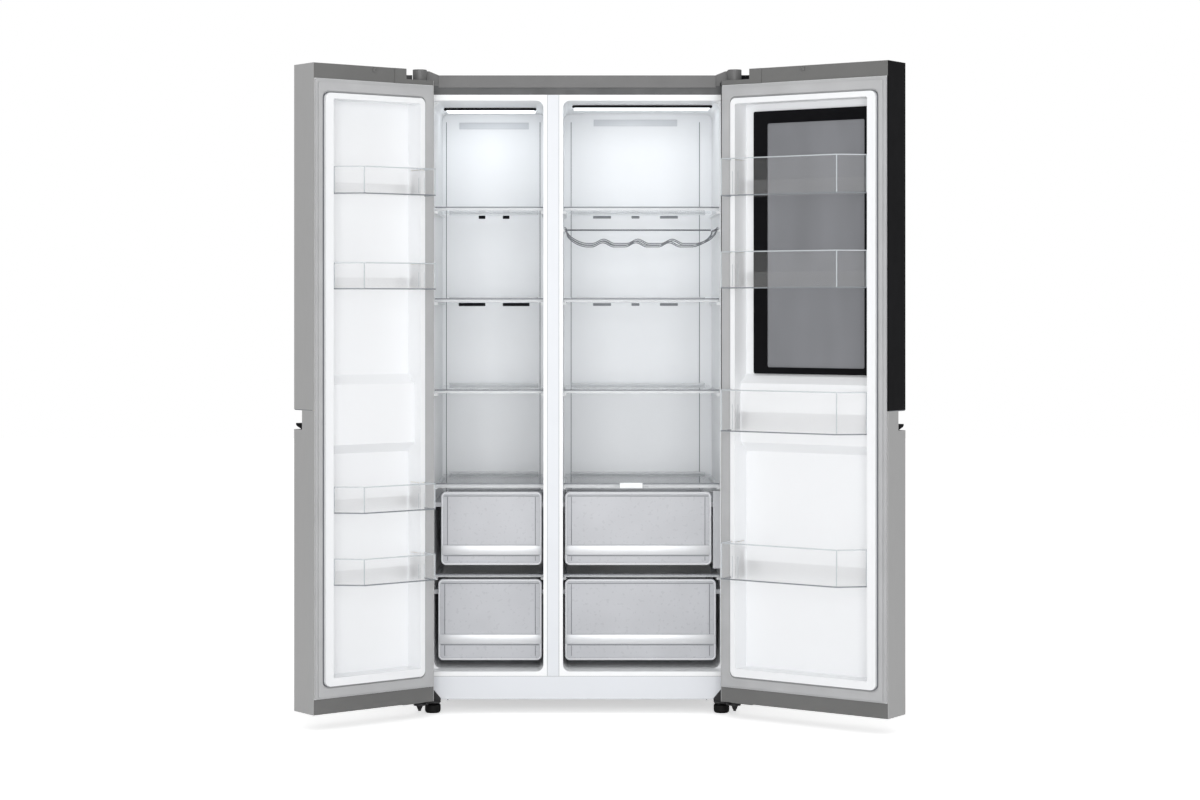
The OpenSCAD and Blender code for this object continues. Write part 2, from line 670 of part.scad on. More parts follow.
// rails under the side lips of the drawers, from each compartment wall
module rail_pair(w0, w1, x, z0, h, y1) {
  rail_top = z0 + h - bin_drop - lip_t - rail_gap;
  reach = bin_in - 1.5;
  box([w0, drawer_y + front_t + 4, rail_top - rail_h], [x[0] + reach, y1, rail_top]);
  box([x[1] - reach, drawer_y + front_t + 4, rail_top - rail_h], [w1, y1, rail_top]);
}
module drawer_rails() color([0.88, 0.89, 0.90]) place() {
  rail_pair(freezer_x0, freezer_x1, fz_top, top_drawer_z, top_drawer_h, top_drawer_y1);
  rail_pair(fridge_x0, fridge_x1, fr_top, top_drawer_z, top_drawer_h, top_drawer_y1);
  rail_pair(freezer_x0, freezer_x1, fz_low, low_drawer_z, low_drawer_h, low_drawer_y1);
  rail_pair(fridge_x0, fridge_x1, fr_low, low_drawer_z, low_drawer_h, low_drawer_y1);
  // upright cover strip beside the upper fridge drawer
  box([fridge_x1 - fridge_top_side + 5, drawer_y + 4, divider_z + 16],
      [fridge_x1, drawer_y + 8, cover_z - 22]);
}

// ---- bottle rack under the upper fridge shelf ----
rack_x0 = fridge_x0 + 3;
rack_x1 = fridge_x1 - 3;
rack_z = shelf_z1 - 99;
rack_amp = 6;
rack_pitch = 97;
rack_mid = fridge_x0 + 212;
rack_bar = 7;
// height of the rack's wave above its middle line, with both ends rising to the hooks
function rack_wave(x) = let (d = min(x - rack_x0, rack_x1 - x))
  d > 60 ? rack_amp * cos(360 * (x - rack_mid) / rack_pitch) : 46 * pow(1 - d / 60, 2) - 4;
module rack_rail(y) {
  n = 96;
  along_y(y, y + rack_bar) polygon(concat(
    [for (i = [0 : n]) let (x = rack_x0 + (rack_x1 - rack_x0) * i / n)
      [x, rack_z + rack_wave(x) + rack_bar / 2]],
    [for (i = [n : -1 : 0]) let (x = rack_x0 + (rack_x1 - rack_x0) * i / n)
      [x, rack_z + rack_wave(x) - rack_bar / 2]]));
}
module bottle_rack() color([0.78, 0.79, 0.81]) place() {
  rack_rail(shelf_y + 26);
  rack_rail(shelf_y + 266);
  for (x = [rack_x0 + 0.5 * rack_bar, rack_x1 - 0.5 * rack_bar])
    translate([x, 0, rack_z + rack_wave(rack_x0)]) rod_y(shelf_y + 27, shelf_y + 272, 3);
  translate([0, shelf_y + 269, rack_z + 38]) rod_x(rack_x0 + 4, rack_x1 - 4, 2.5);
}

// ---- hinges ----
module mirrored() { children(); mirror([1, 0, 0]) children(); }
module upper_hinges() color([0.16, 0.16, 0.17]) place() mirrored() {
  difference() {
    union() {
      translate([-pin_x, -pin_b, arm_z]) cylinder(arm_t, arm_half, arm_half);
      box([-pin_x - arm_half, -pin_b, arm_z], [-pin_x + arm_half, 70, arm_z + arm_t]);
      box([-pin_x - arm_half, 8, case_h],
          [-pin_x + arm_half + hinge_foot_w, hinge_foot_y, arm_z + arm_t]);
    }
    for (y = [hinge_foot_y - 46, hinge_foot_y - 20])
      translate([-pin_x + 22, y, case_h - 1]) cylinder(30, hinge_hole_r, hinge_hole_r);
  }
  translate([-pin_x, -pin_b, arm_z - pin_len]) cylinder(pin_len + e, pin_r, pin_r);
}
module cover_plan(g) {
  translate([-pin_x, -pin_b]) circle(cover_end_r - g);
  translate([-pin_x - cover_end_r + g, -pin_b]) square([2 * (cover_end_r - g), pin_b + cover_y1 - g]);
  polygon([[-pin_x - cover_end_r + g, g], [-pin_x, g - 12 + g], [-case_w / 2 + cover_w - g, g],
           [-case_w / 2 + cover_w - g, cover_y1 - g], [-pin_x - cover_end_r + g, cover_y1 - g]]);
}
module hinge_covers() color([0.52, 0.53, 0.54]) place() mirrored() difference() {
  intersection() {
    translate([0, 0, case_h]) linear_extrude(cover_h) cover_plan(0);
    // the top falls away towards the strip between the covers
    along_y(-pin_b - 30, cover_y1 + 1) polygon([
      [-case_w / 2 - 2, case_h - 1], [-case_w / 2 + cover_w + 2, case_h - 1],
      [-case_w / 2 + cover_w + 2, case_h + strip_h],
      [-case_w / 2 + cover_w - 26, case_h + cover_h],
      [-case_w / 2 - 2, case_h + cover_h]]);
  }
  translate([0, 0, case_h - 1]) linear_extrude(cover_h - cover_roof - 1) cover_plan(cover_t);
  box([-case_w / 2 - 5, -pin_b - 30, case_h - 1], [-case_w / 2 + cover_w + 5, -0.5, arm_z - 1]);
}
module lower_hinges() color([0.06, 0.06, 0.07]) place() mirrored() difference() {
  union() {
    translate([-pin_x, -pin_b, low_arm_z]) cylinder(arm_t, arm_half, arm_half);
    box([-pin_x - arm_half, -pin_b, low_arm_z], [-pin_x + 54, foot_y + 26, low_arm_z + arm_t]);
    // upright plate in front of the toe cover
    along_y(-2, 0) polygon([[-pin_x - 12, low_arm_z], [-pin_x + 56, low_arm_z],
      [-pin_x + 56, low_arm_z + 12], [-pin_x + 36, low_arm_z + 36],
      [-pin_x - 12, low_arm_z + 36]]);
    translate([-pin_x, -pin_b, low_arm_z]) cylinder(low_pin_top - low_arm_z, pin_r, pin_r);
    // adjusting nut under the arm
    translate([-pin_x, -pin_b, 14]) cylinder(4, 4, 4);
    translate([-pin_x, -pin_b, 18]) cylinder(low_arm_z - 18 + e, 5, 10);
  }
  box([-foot_x - 10, -pin_b - 10, low_arm_z - 1],
      [-pin_x + 60, -18, low_arm_z + arm_t + 1]);
  translate([-foot_x, foot_y, low_arm_z - 1]) cylinder(arm_t + 2, stud_r + 0.3, stud_r + 0.3);
}

// ---- feet and rollers ----
module foot() {
  rotate_extrude() polygon([[0, 0], [foot_r - 4, 0], [foot_r - 1, 3], [foot_r, 8],
    [foot_r, foot_h - 3], [foot_r - 3, foot_h], [0, foot_h]]);
  cylinder(base_z - 0.6, stud_r, stud_r);
}
module left_foot() color([0.05, 0.05, 0.05]) place() translate([-foot_x, foot_y, 0]) foot();
module right_foot() color([0.05, 0.05, 0.05]) place() translate([foot_x, foot_y, 0]) foot();

module roller_brackets() color([0.40, 0.41, 0.43]) place()
  for (s = [-1, 1]) translate([s * roller_x, roller_y, 0]) {
    for (x = [-roller_w / 2 - 4.5, roller_w / 2 + 1.5])
      along_x(x, x + 3) polygon([[-16, base_z], [-9, roller_r - 7], [9, roller_r - 7], [16, base_z]]);
    translate([0, 0, roller_r]) rod_x(-roller_w / 2 - 4, roller_w / 2 + 4, axle_r);
  }
module roller() rotate([0, 90, 0]) rotate_extrude() polygon([
  [axle_r + 0.08, -roller_w / 2], [roller_r - 3, -roller_w / 2], [roller_r, -roller_w / 2 + 3],
  [roller_r, roller_w / 2 - 3], [roller_r - 3, roller_w / 2], [axle_r + 0.08, roller_w / 2]]);
module left_roller() color([0.10, 0.10, 0.11]) place()
  translate([-roller_x, roller_y, roller_r]) roller();
module right_roller() color([0.10, 0.10, 0.11]) place()
  translate([roller_x, roller_y, roller_r]) roller();

module cord_gland() color([0.07, 0.07, 0.08]) place()
  translate([case_w / 2 - 56, case_d, machine_z + 34]) difference() {
    union() {
      rod_y(0, 4, 15);
      rod_y(3, gland_len, 10);
    }
    rod_y(2, gland_len + 1, 4.5);
  }

// ---- doors ----
// plan of a door of width w, drawn in by g
module door_plan(w, g) {
  x0 = -pin_a + g;
  x1 = w - pin_a - g;
  r = hinge_corner_r - g;
  translate([x0 + r, outer_y + g]) square([x1 - x0 - r - 4, door_t - g]);
  translate([x0, outer_y + g + r]) square([x1 - x0, door_t - r - g]);
  translate([x0 + r, outer_y + g + 4]) square([x1 - x0 - r, door_t - g - 4]);
  translate([x0 + r, outer_y + g + r]) circle(r, $fn = 96);
  translate([x1 - 4, outer_y + g + 4]) circle(4);
}
module door_skin(w, z0, z1) {
  difference() {
    union() {
      translate([0, 0, z0]) linear_extrude(z1 - z0) difference() {
        door_plan(w, 0);
        door_plan(w, skin_in);
        translate([-pin_a + sheet_t, inner_y - 5]) square([w - 2 * sheet_t, 10]);
      }
      for (x = [-pin_a, w - pin_a - panel_return])
        box([x, inner_y - sheet_t, max(z0, liner_z0)],
            [x + panel_return, inner_y, min(z1, liner_z1)]);
    }
    // clearance for the upper hinge
    box([-pin_a - 1, outer_y - 1, notch_z], [notch_skin_x, inner_y + 1, door_z1 + 1]);
  }
}
// the handle pocket, open at the free edge and at the front
module pocket(w, g) {
  box([pocket_end - pin_a - g, outer_y - 1, pocket_z0 - g],
      [w - pin_a + 1, outer_y + pocket_d + g, pocket_z1]);
}
module door_lower_panel(w) {
  difference() {
    door_skin(w, door_z0, pocket_z1 - 0.5);
    pocket(w, 0);
  }
}
// profile of the liner's floor in y and z, with the bulge behind the handle pocket
module recess_profile(z0, z1, g) {
  base = inner_y - recess_d - g;
  bulge = inner_y - bulge_d - g;
  polygon([[base, z0], [base, bulge_z0 - bulge_slope], [bulge, bulge_z0], [bulge, bulge_z1],
           [base, bulge_z1 + bulge_slope], [base, z1], [inner_y + 60, z1], [inner_y + 60, z0]]);
}
dyke_hinge_x = -pin_a + mouth_wall + mouth_clear;
dyke_z0 = floor_z + mouth_clear;
dyke_z1 = ceiling_z - mouth_clear;
module dyke_plan(w, free, g) {
  round_rect([dyke_hinge_x + g, dyke_z0 + g], [w - pin_a - free - g, dyke_z1 - g],
             max(2, dyke_r - g));
}
module door_recess(w, free, g) intersection() {
  along_y(outer_y, inner_y + 60) round_rect(
    [dyke_hinge_x + dyke_w - g, dyke_z0 + dyke_low_w - g],
    [w - pin_a - free - dyke_free_w + g, dyke_z1 - dyke_w + g], 4 + g);
  along_x(-pin_a, w) recess_profile(0, 2 * case_h, g);
}
module dyke_fill(w, free) difference() {
  along_y(inner_y - sheet_t, inner_y + dyke_h - liner_t) dyke_plan(w, free, liner_t);
  door_recess(w, free, liner_t);
}
module door_liner(w, free) {
  difference() {
    union() {
      box([-pin_a + panel_return + seam, inner_y - sheet_t, liner_z0],
          [w - pin_a - panel_return - seam, inner_y, liner_z1]);
      along_y(inner_y - sheet_t, inner_y + dyke_h) dyke_plan(w, free, 0);
      intersection() {
        door_recess(w, free, liner_t);
        along_y(outer_y, inner_y + dyke_h) dyke_plan(w, free, 0);
      }
    }
    dyke_fill(w, free);
    door_recess(w, free, 0);
  }
}
module door_foam(w, free) {
  difference() {
    union() {
      translate([0, 0, liner_z0]) linear_extrude(liner_z1 - liner_z0) intersection() {
        door_plan(w, skin_in);
        translate([-pin_a, outer_y]) square([w, door_t - sheet_t]);
      }
      along_y(inner_y - sheet_t - e, inner_y + dyke_h - liner_t) dyke_plan(w, free, liner_t);
    }
    door_recess(w, free, liner_t);
    pocket(w, lining_t);
    translate([0, 0, liner_z1 - boss_len]) cylinder(boss_len + 1, boss_r, boss_r);
  }
}
module door_gasket(w, free) {
  x0 = dyke_hinge_x - mouth_clear - gasket_hinge_w + 3;
  x1 = w - pin_a - free + mouth_clear + gasket_w - 3;
  z0 = dyke_z0 - mouth_clear - gasket_end_w + 3;
  z1 = dyke_z1 + mouth_clear + gasket_end_w - 3;
  inner = [[dyke_hinge_x - mouth_clear, dyke_z0 - mouth_clear],
           [w - pin_a - free + mouth_clear, dyke_z1 + mouth_clear]];
  difference() {
    union() {
      along_y(inner_y, inner_y + gasket_t * 0.5)
        round_rect([-pin_a + panel_return + 1, liner_z0 + 1],
                   [w - pin_a - panel_return - 1, liner_z1 - 1], 3);
      along_y(inner_y, inner_y + gasket_t) round_rect([x0, z0], [x1, z1], 4);
    }
    along_y(inner_y - 1, inner_y + gasket_t + 1) round_rect(inner[0], inner[1], dyke_r);
    along_y(inner_y + gasket_t * 0.5, inner_y + gasket_t + 1)
      round_rect(inner[0] - [3, 3], inner[1] + [3, 3], dyke_r);
  }
}
module door_caps(w) {
  // top cap with the hinge notch, pin bore and boss
  difference() {
    union() {
      translate([0, 0, liner_z1]) linear_extrude(cap_h) difference() {
        door_plan(w, skin_in);
        translate([-pin_a - 1, inner_y]) square([w + 2, 20]);
      }
      translate([0, 0, liner_z1 - boss_len]) cylinder(boss_len + e, boss_r, boss_r);
      box([notch_x, inner_y - e, liner_z1], [notch_x + block_w, inner_y + block_out, door_z1]);
      translate([w / 2 - pin_a, 0, door_z1 - bump_r - 3])
        rod_y(inner_y - e, inner_y + block_out + 1, bump_r);
    }
    box([-pin_a, outer_y, notch_z], [notch_x, inner_y + 1, door_z1 + 1]);
    translate([0, 0, liner_z1 - boss_len + 4])
      cylinder(cap_h, pin_r + pin_clear, pin_r + pin_clear);
  }
  // bottom cap with its pin bore and the closing cam plate under it
  difference() {
    union() {
      translate([0, 0, door_z0]) linear_extrude(cap_h) difference() {
        door_plan(w, skin_in);
        translate([-pin_a - 1, inner_y]) square([w + 2, 20]);
      }
      translate([0, 0, door_z0 - cam_t]) linear_extrude(cam_t + e) {
        circle(13);
        translate([0, 4]) square([66, 13]);
      }
    }
    translate([0, 0, door_z0 - cam_t - 1])
      cylinder(low_pin_top - door_z0 + cam_t + 4, pin_r + pin_clear, pin_r + pin_clear);
  }
}
// lining of the pocket with the black finger lip at its bottom
module door_handle(w) {
  x0 = pocket_end - pin_a;
  x1 = w - pin_a - sheet_t;
  back = outer_y + pocket_d;
  difference() {
    box([x0 - lining_t, outer_y + sheet_t, pocket_z0 - lining_t], [x1, back + lining_t, pocket_z1]);
    box([x0, outer_y - 1, pocket_z0], [x1 + 1, back, pocket_z1 - lining_t]);
    // the round edge of the door skin
    translate([x1 - 4, outer_y, 0]) box([0, 0, pocket_z0 - 9], [5, 4, pocket_z1 + 1]);
  }
  along_x(x0 - e, x1) polygon([[back + e, pocket_z0], [back + e, pocket_z0 + finger_h],
    [outer_y + 11, pocket_z0 + finger_h], [outer_y + 9, pocket_z0 + finger_h - 3],
    [outer_y + 14, pocket_z0 + 9]]);
}
// plan of a basket that stops at end from the free edge, drawn in by g: narrow between the
// dykes, wide in front of them
module basket_plan(w, end, depth, g) {
  x0 = -pin_a + basket_hinge_gap + g;
  xn = dyke_hinge_x + dyke_w + 1 + g;
  x1 = w - pin_a - end - g;
  y1 = inner_y + basket_out - g;
  ym = inner_y + dyke_h + 1 + g;
  y0 = inner_y + basket_out - depth + g;
  k = g * 0.42;
  polygon([[xn, y0], [x1, y0], [x1, y1 - basket_cut + k], [x1 - basket_cut + k, y1],
           [x0, y1], [x0, ym], [xn, ym]]);
}
module basket(w, end, z, h, depth) {
  back = inner_y + basket_out - depth;
  difference() {
    translate([0, 0, z]) linear_extrude(h) basket_plan(w, end, depth, 0);
    translate([0, 0, z + basket_t]) linear_extrude(h) basket_plan(w, end, depth, basket_t);
    box([-pin_a, back - 1, z + h * 0.45], [w, back + basket_t + 1, z + h + 1]);
  }
  // rim
  difference() {
    translate([0, 0, z + h - 3]) linear_extrude(3) basket_plan(w, end, depth, -1);
    translate([0, 0, z + h - 4]) linear_extrude(5) basket_plan(w, end, depth, basket_t);
    box([-pin_a, back - 3, z + h - 4], [w, back + basket_t + 1, z + h + 1]);
  }
}

module freezer_door_upper_panel() color([0.70, 0.70, 0.70]) left_door()
  door_skin(freezer_door_w, pocket_z1, door_z1);
module freezer_door_lower_panel() color([0.70, 0.70, 0.70]) left_door()
  door_lower_panel(freezer_door_w);
module freezer_door_foam() color([0.93, 0.88, 0.66]) left_door()
  door_foam(freezer_door_w, freezer_free);
module freezer_door_liner() color([0.96, 0.96, 0.97]) left_door()
  door_liner(freezer_door_w, freezer_free);
module freezer_door_gasket() color([0.78, 0.78, 0.79]) left_door()
  door_gasket(freezer_door_w, freezer_free);
module freezer_door_caps() color([0.42, 0.42, 0.42]) left_door() door_caps(freezer_door_w);
module freezer_door_handle() color([0.08, 0.08, 0.09]) left_door() door_handle(freezer_door_w);
module freezer_door_baskets() color([0.88, 0.92, 0.93, 0.4]) left_door()
  for (b = freezer_baskets) basket(freezer_door_w, freezer_basket_end, b[0], b[1], b[2]);

// room for the front glass and the sheet behind it
module glass_backing() {
  box([hinge_corner_r - pin_a - 2, outer_y - 1, pocket_z1],
      [free_r, outer_y + front_glass_t + sheet_t, door_z1 + 1]);
}
// end of the window beside the free edge
window_x1 = fridge_door_w - pin_a - fridge_free - dyke_free_w - 2;
// outline of the window's frame, drawn in by share times its border and then by g
module window_outline(share, g) round_rect(
  [window_x0 + share * window_side + g, window_z0 + share * window_bottom + g],
  [window_x1 - share * window_top - g, window_z1 - share * window_top - g], window_r);
module window_plate(y0, y1, share, g) { along_y(y0, y1) window_outline(share, g); }
// cut through the door for the window
module window_cut() { window_plate(outer_y - 1, inner_y, 1, 0); }
// seat of the front glass, d deep behind the outer face
module glass_seat(d) {
  box([hinge_corner_r - pin_a, outer_y - 1, pocket_z1], [free_r - 4, outer_y + d, door_z1 + 1]);
}
module fridge_door_upper_panel() color([0.05, 0.05, 0.06]) right_door() difference() {
  union() {
    difference() {
      door_skin(fridge_door_w, pocket_z1, door_z1);
      translate([0, 0, -1]) glass_seat(front_glass_t);
    }
    box([hinge_corner_r - pin_a - 2, outer_y + front_glass_t, pocket_z1],
        [free_r - 1, outer_y + front_glass_t + sheet_t, door_z1]);
    // step between the round skin and the sheet behind the glass
    box([hinge_corner_r - pin_a - 2, outer_y + 1, pocket_z1],
        [hinge_corner_r - pin_a - e, outer_y + front_glass_t + 1, door_z1]);
  }
  window_cut();
}
module fridge_door_front_glass() color([0.04, 0.04, 0.05]) right_door()
  box([hinge_corner_r - pin_a, outer_y, pocket_z1],
      [free_r - 4, outer_y + front_glass_t, door_z1]);
module fridge_door_lower_panel() color([0.70, 0.70, 0.70]) right_door()
  door_lower_panel(fridge_door_w);
module fridge_door_foam() color([0.93, 0.88, 0.66]) right_door() difference() {
  door_foam(fridge_door_w, fridge_free);
  window_cut();
  glass_backing();
}
module fridge_door_liner() color([0.96, 0.96, 0.97]) right_door() difference() {
  door_liner(fridge_door_w, fridge_free);
  window_cut();
}
window_y = inner_y - recess_d;
module fridge_door_window_frame() color([0.03, 0.03, 0.04]) right_door() {
  difference() {
    window_plate(window_y, window_y + window_frame_t, 0, 0);
    window_plate(window_y - 1, window_y + window_t, 0, 6);
    window_plate(window_y - 1, window_y + window_frame_t + 1, 1, 0);
  }
  // lining of the cut through the door
  difference() {
    window_plate(outer_y + front_glass_t + sheet_t, window_y, 1, 0);
    window_plate(outer_y, window_y + 1, 1, 2);
  }
}
module fridge_door_window() color([0.35, 0.36, 0.38, 0.6]) right_door()
  window_plate(window_y, window_y + window_t, 0, 6);
module fridge_door_gasket() color([0.78, 0.78, 0.79]) right_door()
  door_gasket(fridge_door_w, fridge_free);
module fridge_door_caps() color([0.42, 0.42, 0.42]) right_door() difference() {
  door_caps(fridge_door_w);
  glass_backing();
}
module fridge_door_handle() color([0.08, 0.08, 0.09]) right_door() door_handle(fridge_door_w);
module fridge_door_baskets() color([0.88, 0.92, 0.93, 0.4]) right_door()
  for (b = fridge_baskets) basket(fridge_door_w, fridge_basket_end, b[0], b[1], b[2]);

case_shell();
cabinet_foam();
freezer_liner();
fridge_liner();
mullion_strip();
top_cover();
toe_cover();
back_panel();
base_plate();
machine_room_wall();
machine_cover();
compressor();
condenser_coil();
drip_tray();
condenser_fan_frame();
condenser_fan();
evaporator();
evaporator_fan();
freezer_duct_panel();
fridge_duct_panel();
ceiling_lamps();
freezer_shelves();
fridge_shelves();
freezer_shelf_trims();
fridge_shelf_trims();
drawer_rails();
humidity_slider();
bottle_rack();
freezer_upper_drawer();
freezer_lower_drawer();
fridge_upper_drawer();
fridge_lower_drawer();
upper_hinges();
hinge_covers();
lower_hinges();
left_foot();
right_foot();
roller_brackets();
left_roller();
right_roller();
cord_gland();
freezer_door_upper_panel();
freezer_door_lower_panel();
freezer_door_foam();
freezer_door_liner();
freezer_door_gasket();
freezer_door_caps();
freezer_door_handle();
freezer_door_baskets();
fridge_door_upper_panel();
fridge_door_front_glass();
fridge_door_lower_panel();
fridge_door_foam();
fridge_door_liner();
fridge_door_window();
fridge_door_window_frame();
fridge_door_gasket();
fridge_door_caps();
fridge_door_handle();
fridge_door_baskets();
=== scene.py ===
"""Looks of the open side by side refrigerator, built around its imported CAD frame."""

import json
import math

import bmesh
import bpy
from mathutils import Matrix, Vector


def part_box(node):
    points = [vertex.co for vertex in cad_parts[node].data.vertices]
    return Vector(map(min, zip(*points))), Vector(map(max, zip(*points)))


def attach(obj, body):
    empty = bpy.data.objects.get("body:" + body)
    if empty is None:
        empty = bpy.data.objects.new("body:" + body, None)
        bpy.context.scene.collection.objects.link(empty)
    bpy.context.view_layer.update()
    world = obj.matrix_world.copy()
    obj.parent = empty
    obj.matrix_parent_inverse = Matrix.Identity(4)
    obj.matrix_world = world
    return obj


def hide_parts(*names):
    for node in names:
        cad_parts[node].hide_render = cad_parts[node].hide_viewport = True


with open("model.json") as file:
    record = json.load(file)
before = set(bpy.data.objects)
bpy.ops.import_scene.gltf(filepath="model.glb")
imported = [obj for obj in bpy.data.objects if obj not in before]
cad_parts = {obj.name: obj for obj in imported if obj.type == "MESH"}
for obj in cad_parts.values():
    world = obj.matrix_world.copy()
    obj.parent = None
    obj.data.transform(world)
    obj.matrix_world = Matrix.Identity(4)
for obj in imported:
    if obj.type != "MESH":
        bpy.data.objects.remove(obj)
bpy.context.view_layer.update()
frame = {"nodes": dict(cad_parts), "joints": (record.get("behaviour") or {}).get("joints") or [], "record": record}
NODES = frame["nodes"]
MM = 0.001


# ---------------------------------------------------------------- places
def node_box(name):
    """Low and high corner of a node, in metres."""
    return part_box(name)


def joint(name):
    return next(j for j in frame["joints"] if j["name"] == name)


CASE_LO, CASE_HI = node_box("case_shell")
CASE_X = (CASE_LO.x + CASE_HI.x) / 2  # middle of the case
FRONT_Y = CASE_LO.y  # front plane of the case


def door_matrix(side):
    """Local axes of an open door: x to the free edge, y towards the case when shut, z up."""
    hinge = joint(side + "_door_hinge")
    pin = Vector(hinge["pos_m"])
    pin.z = 0
    angle = math.radians(-hinge["range_deg"][0])
    if side == "freezer":
        return Matrix.Translation(pin) @ Matrix.Rotation(-angle, 4, "Z")
    return (Matrix.Translation(pin) @ Matrix.Rotation(angle, 4, "Z")
            @ Matrix.Scale(-1, 4, (1, 0, 0)))


def levels(node, matrix=Matrix.Identity(4), gap=0.08):
    """Boxes of the stacked parts of a node, lowest first, measured in the axes of matrix."""
    inverse = matrix.inverted()
    points = sorted((inverse @ v.co for v in NODES[node].data.vertices), key=lambda p: p.z)
    groups = [[points[0]]]
    for point in points[1:]:
        if point.z - groups[-1][-1].z > gap:
            groups.append([])
        groups[-1].append(point)
    return [(Vector([min(p[i] for p in g) for i in range(3)]),
             Vector([max(p[i] for p in g) for i in range(3)])) for g in groups]


# ---------------------------------------------------------------- materials
class Shader:
    """A Principled material and short calls that wire procedural detail into it."""

    def __init__(self, name, color, roughness, **sockets):
        self.material = bpy.data.materials.new(name)
        self.material.use_nodes = True
        self.tree = self.material.node_tree
        self.bsdf = self.tree.nodes["Principled BSDF"]
        self.bsdf.inputs["Base Color"].default_value = (*color, 1)
        self.bsdf.inputs["Roughness"].default_value = roughness
        for key, value in sockets.items():
            self.bsdf.inputs[key.replace("_", " ")].default_value = value
        self.coords = self.add("ShaderNodeTexCoord")

    def add(self, kind, **settings):
        node = self.tree.nodes.new(kind)
        for key, value in settings.items():
            setattr(node, key, value)
        return node

    def link(self, a, b):
        self.tree.links.new(a, b)

    def mapped(self, scale, rotation=(0, 0, 0)):
        node = self.add("ShaderNodeMapping")
        node.inputs["Scale"].default_value = scale
        node.inputs["Rotation"].default_value = rotation
        self.link(self.coords.outputs["Object"], node.inputs["Vector"])
        return node.outputs["Vector"]

    def noise(self, scale, detail=3.0, stretch=(1, 1, 1), rotation=(0, 0, 0)):
        node = self.add("ShaderNodeTexNoise")
        node.inputs["Scale"].default_value = scale
        node.inputs["Detail"].default_value = detail
        self.link(self.mapped(stretch, rotation), node.inputs["Vector"])
        return node.outputs["Fac"]

    def cells(self, scale):
        node = self.add("ShaderNodeTexVoronoi")
        node.inputs["Scale"].default_value = scale
        self.link(self.mapped((1, 1, 1)), node.inputs["Vector"])
        return node.outputs["Distance"]

    def remap(self, value, low, high, from_low=0.3, from_high=0.7):
        node = self.add("ShaderNodeMapRange")
        node.inputs["From Min"].default_value = from_low
        node.inputs["From Max"].default_value = from_high
        node.inputs["To Min"].default_value = low
        node.inputs["To Max"].default_value = high
        self.link(value, node.inputs["Value"])
        return node.outputs["Result"]

    def vary_roughness(self, value, low, high):
        self.link(self.remap(value, low, high), self.bsdf.inputs["Roughness"])

    def vary_color(self, value, dark, light, low=0.3, high=0.7):
        ramp = self.add("ShaderNodeValToRGB")
        ramp.color_ramp.elements[0].position = low
        ramp.color_ramp.elements[0].color = (*dark, 1)
        ramp.color_ramp.elements[1].position = high
        ramp.color_ramp.elements[1].color = (*light, 1)
        self.link(value, ramp.inputs["Fac"])
        self.link(ramp.outputs["Color"], self.bsdf.inputs["Base Color"])

    def bump(self, value, distance, strength=0.5):
        node = self.add("ShaderNodeBump")
        node.inputs["Distance"].default_value = distance
        node.inputs["Strength"].default_value = strength
        self.link(value, node.inputs["Height"])
        self.link(node.outputs["Normal"], self.bsdf.inputs["Normal"])


def shade(color, factor):
    return tuple(min(1.0, c * factor) for c in color)


def moulded(name, color, roughness, grain=900.0, depth=0.00006, spread=0.05, **sockets):
    """Moulded plastic: fine grain in the surface and slow changes of tone and gloss."""
    s = Shader(name, color, roughness, **sockets)
    slow = s.noise(5.0, 2.0)
    s.vary_color(slow, shade(color, 1 - spread), shade(color, 1 + spread))
    s.vary_roughness(s.noise(26.0, 3.0), roughness * 0.93, roughness * 1.08)
    s.bump(s.noise(grain, 2.0), depth, 0.4)
    return s.material


def painted(name, color, roughness, metallic=0.0, spread=0.05):
    """Sprayed paint: orange peel and small changes of tone."""
    s = Shader(name, color, roughness, Metallic=metallic)
    s.vary_color(s.noise(4.0, 3.0), shade(color, 1 - spread), shade(color, 1 + spread))
    s.vary_roughness(s.noise(40.0, 2.0), roughness * 0.85, roughness * 1.15)
    s.bump(s.noise(420.0, 2.0), 0.00005, 0.35)
    return s.material


def brushed(name, color, roughness, metallic=0.85, stretch=(34, 34, 0.35)):
    """Brushed surface with fine hairlines, upright unless stretch says otherwise."""
    s = Shader(name, color, roughness, Metallic=metallic)
    lines = s.noise(60.0, 6.0, stretch=stretch)
    s.vary_color(lines, shade(color, 0.93), shade(color, 1.05), 0.25, 0.75)
    s.vary_roughness(lines, roughness * 0.8, roughness * 1.2)
    s.bump(lines, 0.00003, 0.3)
    return s.material


def clear_plastic(name, color, alpha, roughness=0.08):
    """Moulded styrene: flow marks, slightly uneven gloss, and clear where alpha is low."""
    s = Shader(name, color, roughness, IOR=1.55)
    flow = s.noise(6.0, 2.0)
    s.vary_color(flow, shade(color, 0.98), shade(color, 1.01))
    s.link(s.remap(flow, alpha * 0.96, min(1.0, alpha * 1.04)), s.bsdf.inputs["Alpha"])
    s.vary_roughness(s.noise(90.0, 4.0), roughness * 0.8, roughness * 1.3)
    s.bump(s.noise(14.0, 1.0), 0.0002, 0.15)
    return s.material


def glass(name, color, alpha, roughness=0.03):
    """Tempered glass with a faint roller wave."""
    s = Shader(name, color, roughness, IOR=1.5)
    wave = s.noise(3.0, 1.0, stretch=(1, 6, 1))
    s.vary_color(wave, shade(color, 0.96), shade(color, 1.04))
    s.link(s.remap(wave, alpha * 0.95, min(1.0, alpha * 1.05)), s.bsdf.inputs["Alpha"])
    s.vary_roughness(s.noise(60.0, 3.0), roughness, roughness * 2)
    s.bump(wave, 0.0003, 0.15)
    return s.material


def foam_material(name, color):
    """Rigid insulation foam with closed cells."""
    s = Shader(name, color, 0.9)
    cells = s.cells(420.0)
    s.vary_color(cells, shade(color, 0.8), color, 0.1, 0.6)
    s.bump(cells, 0.0005, 0.6)
    return s.material


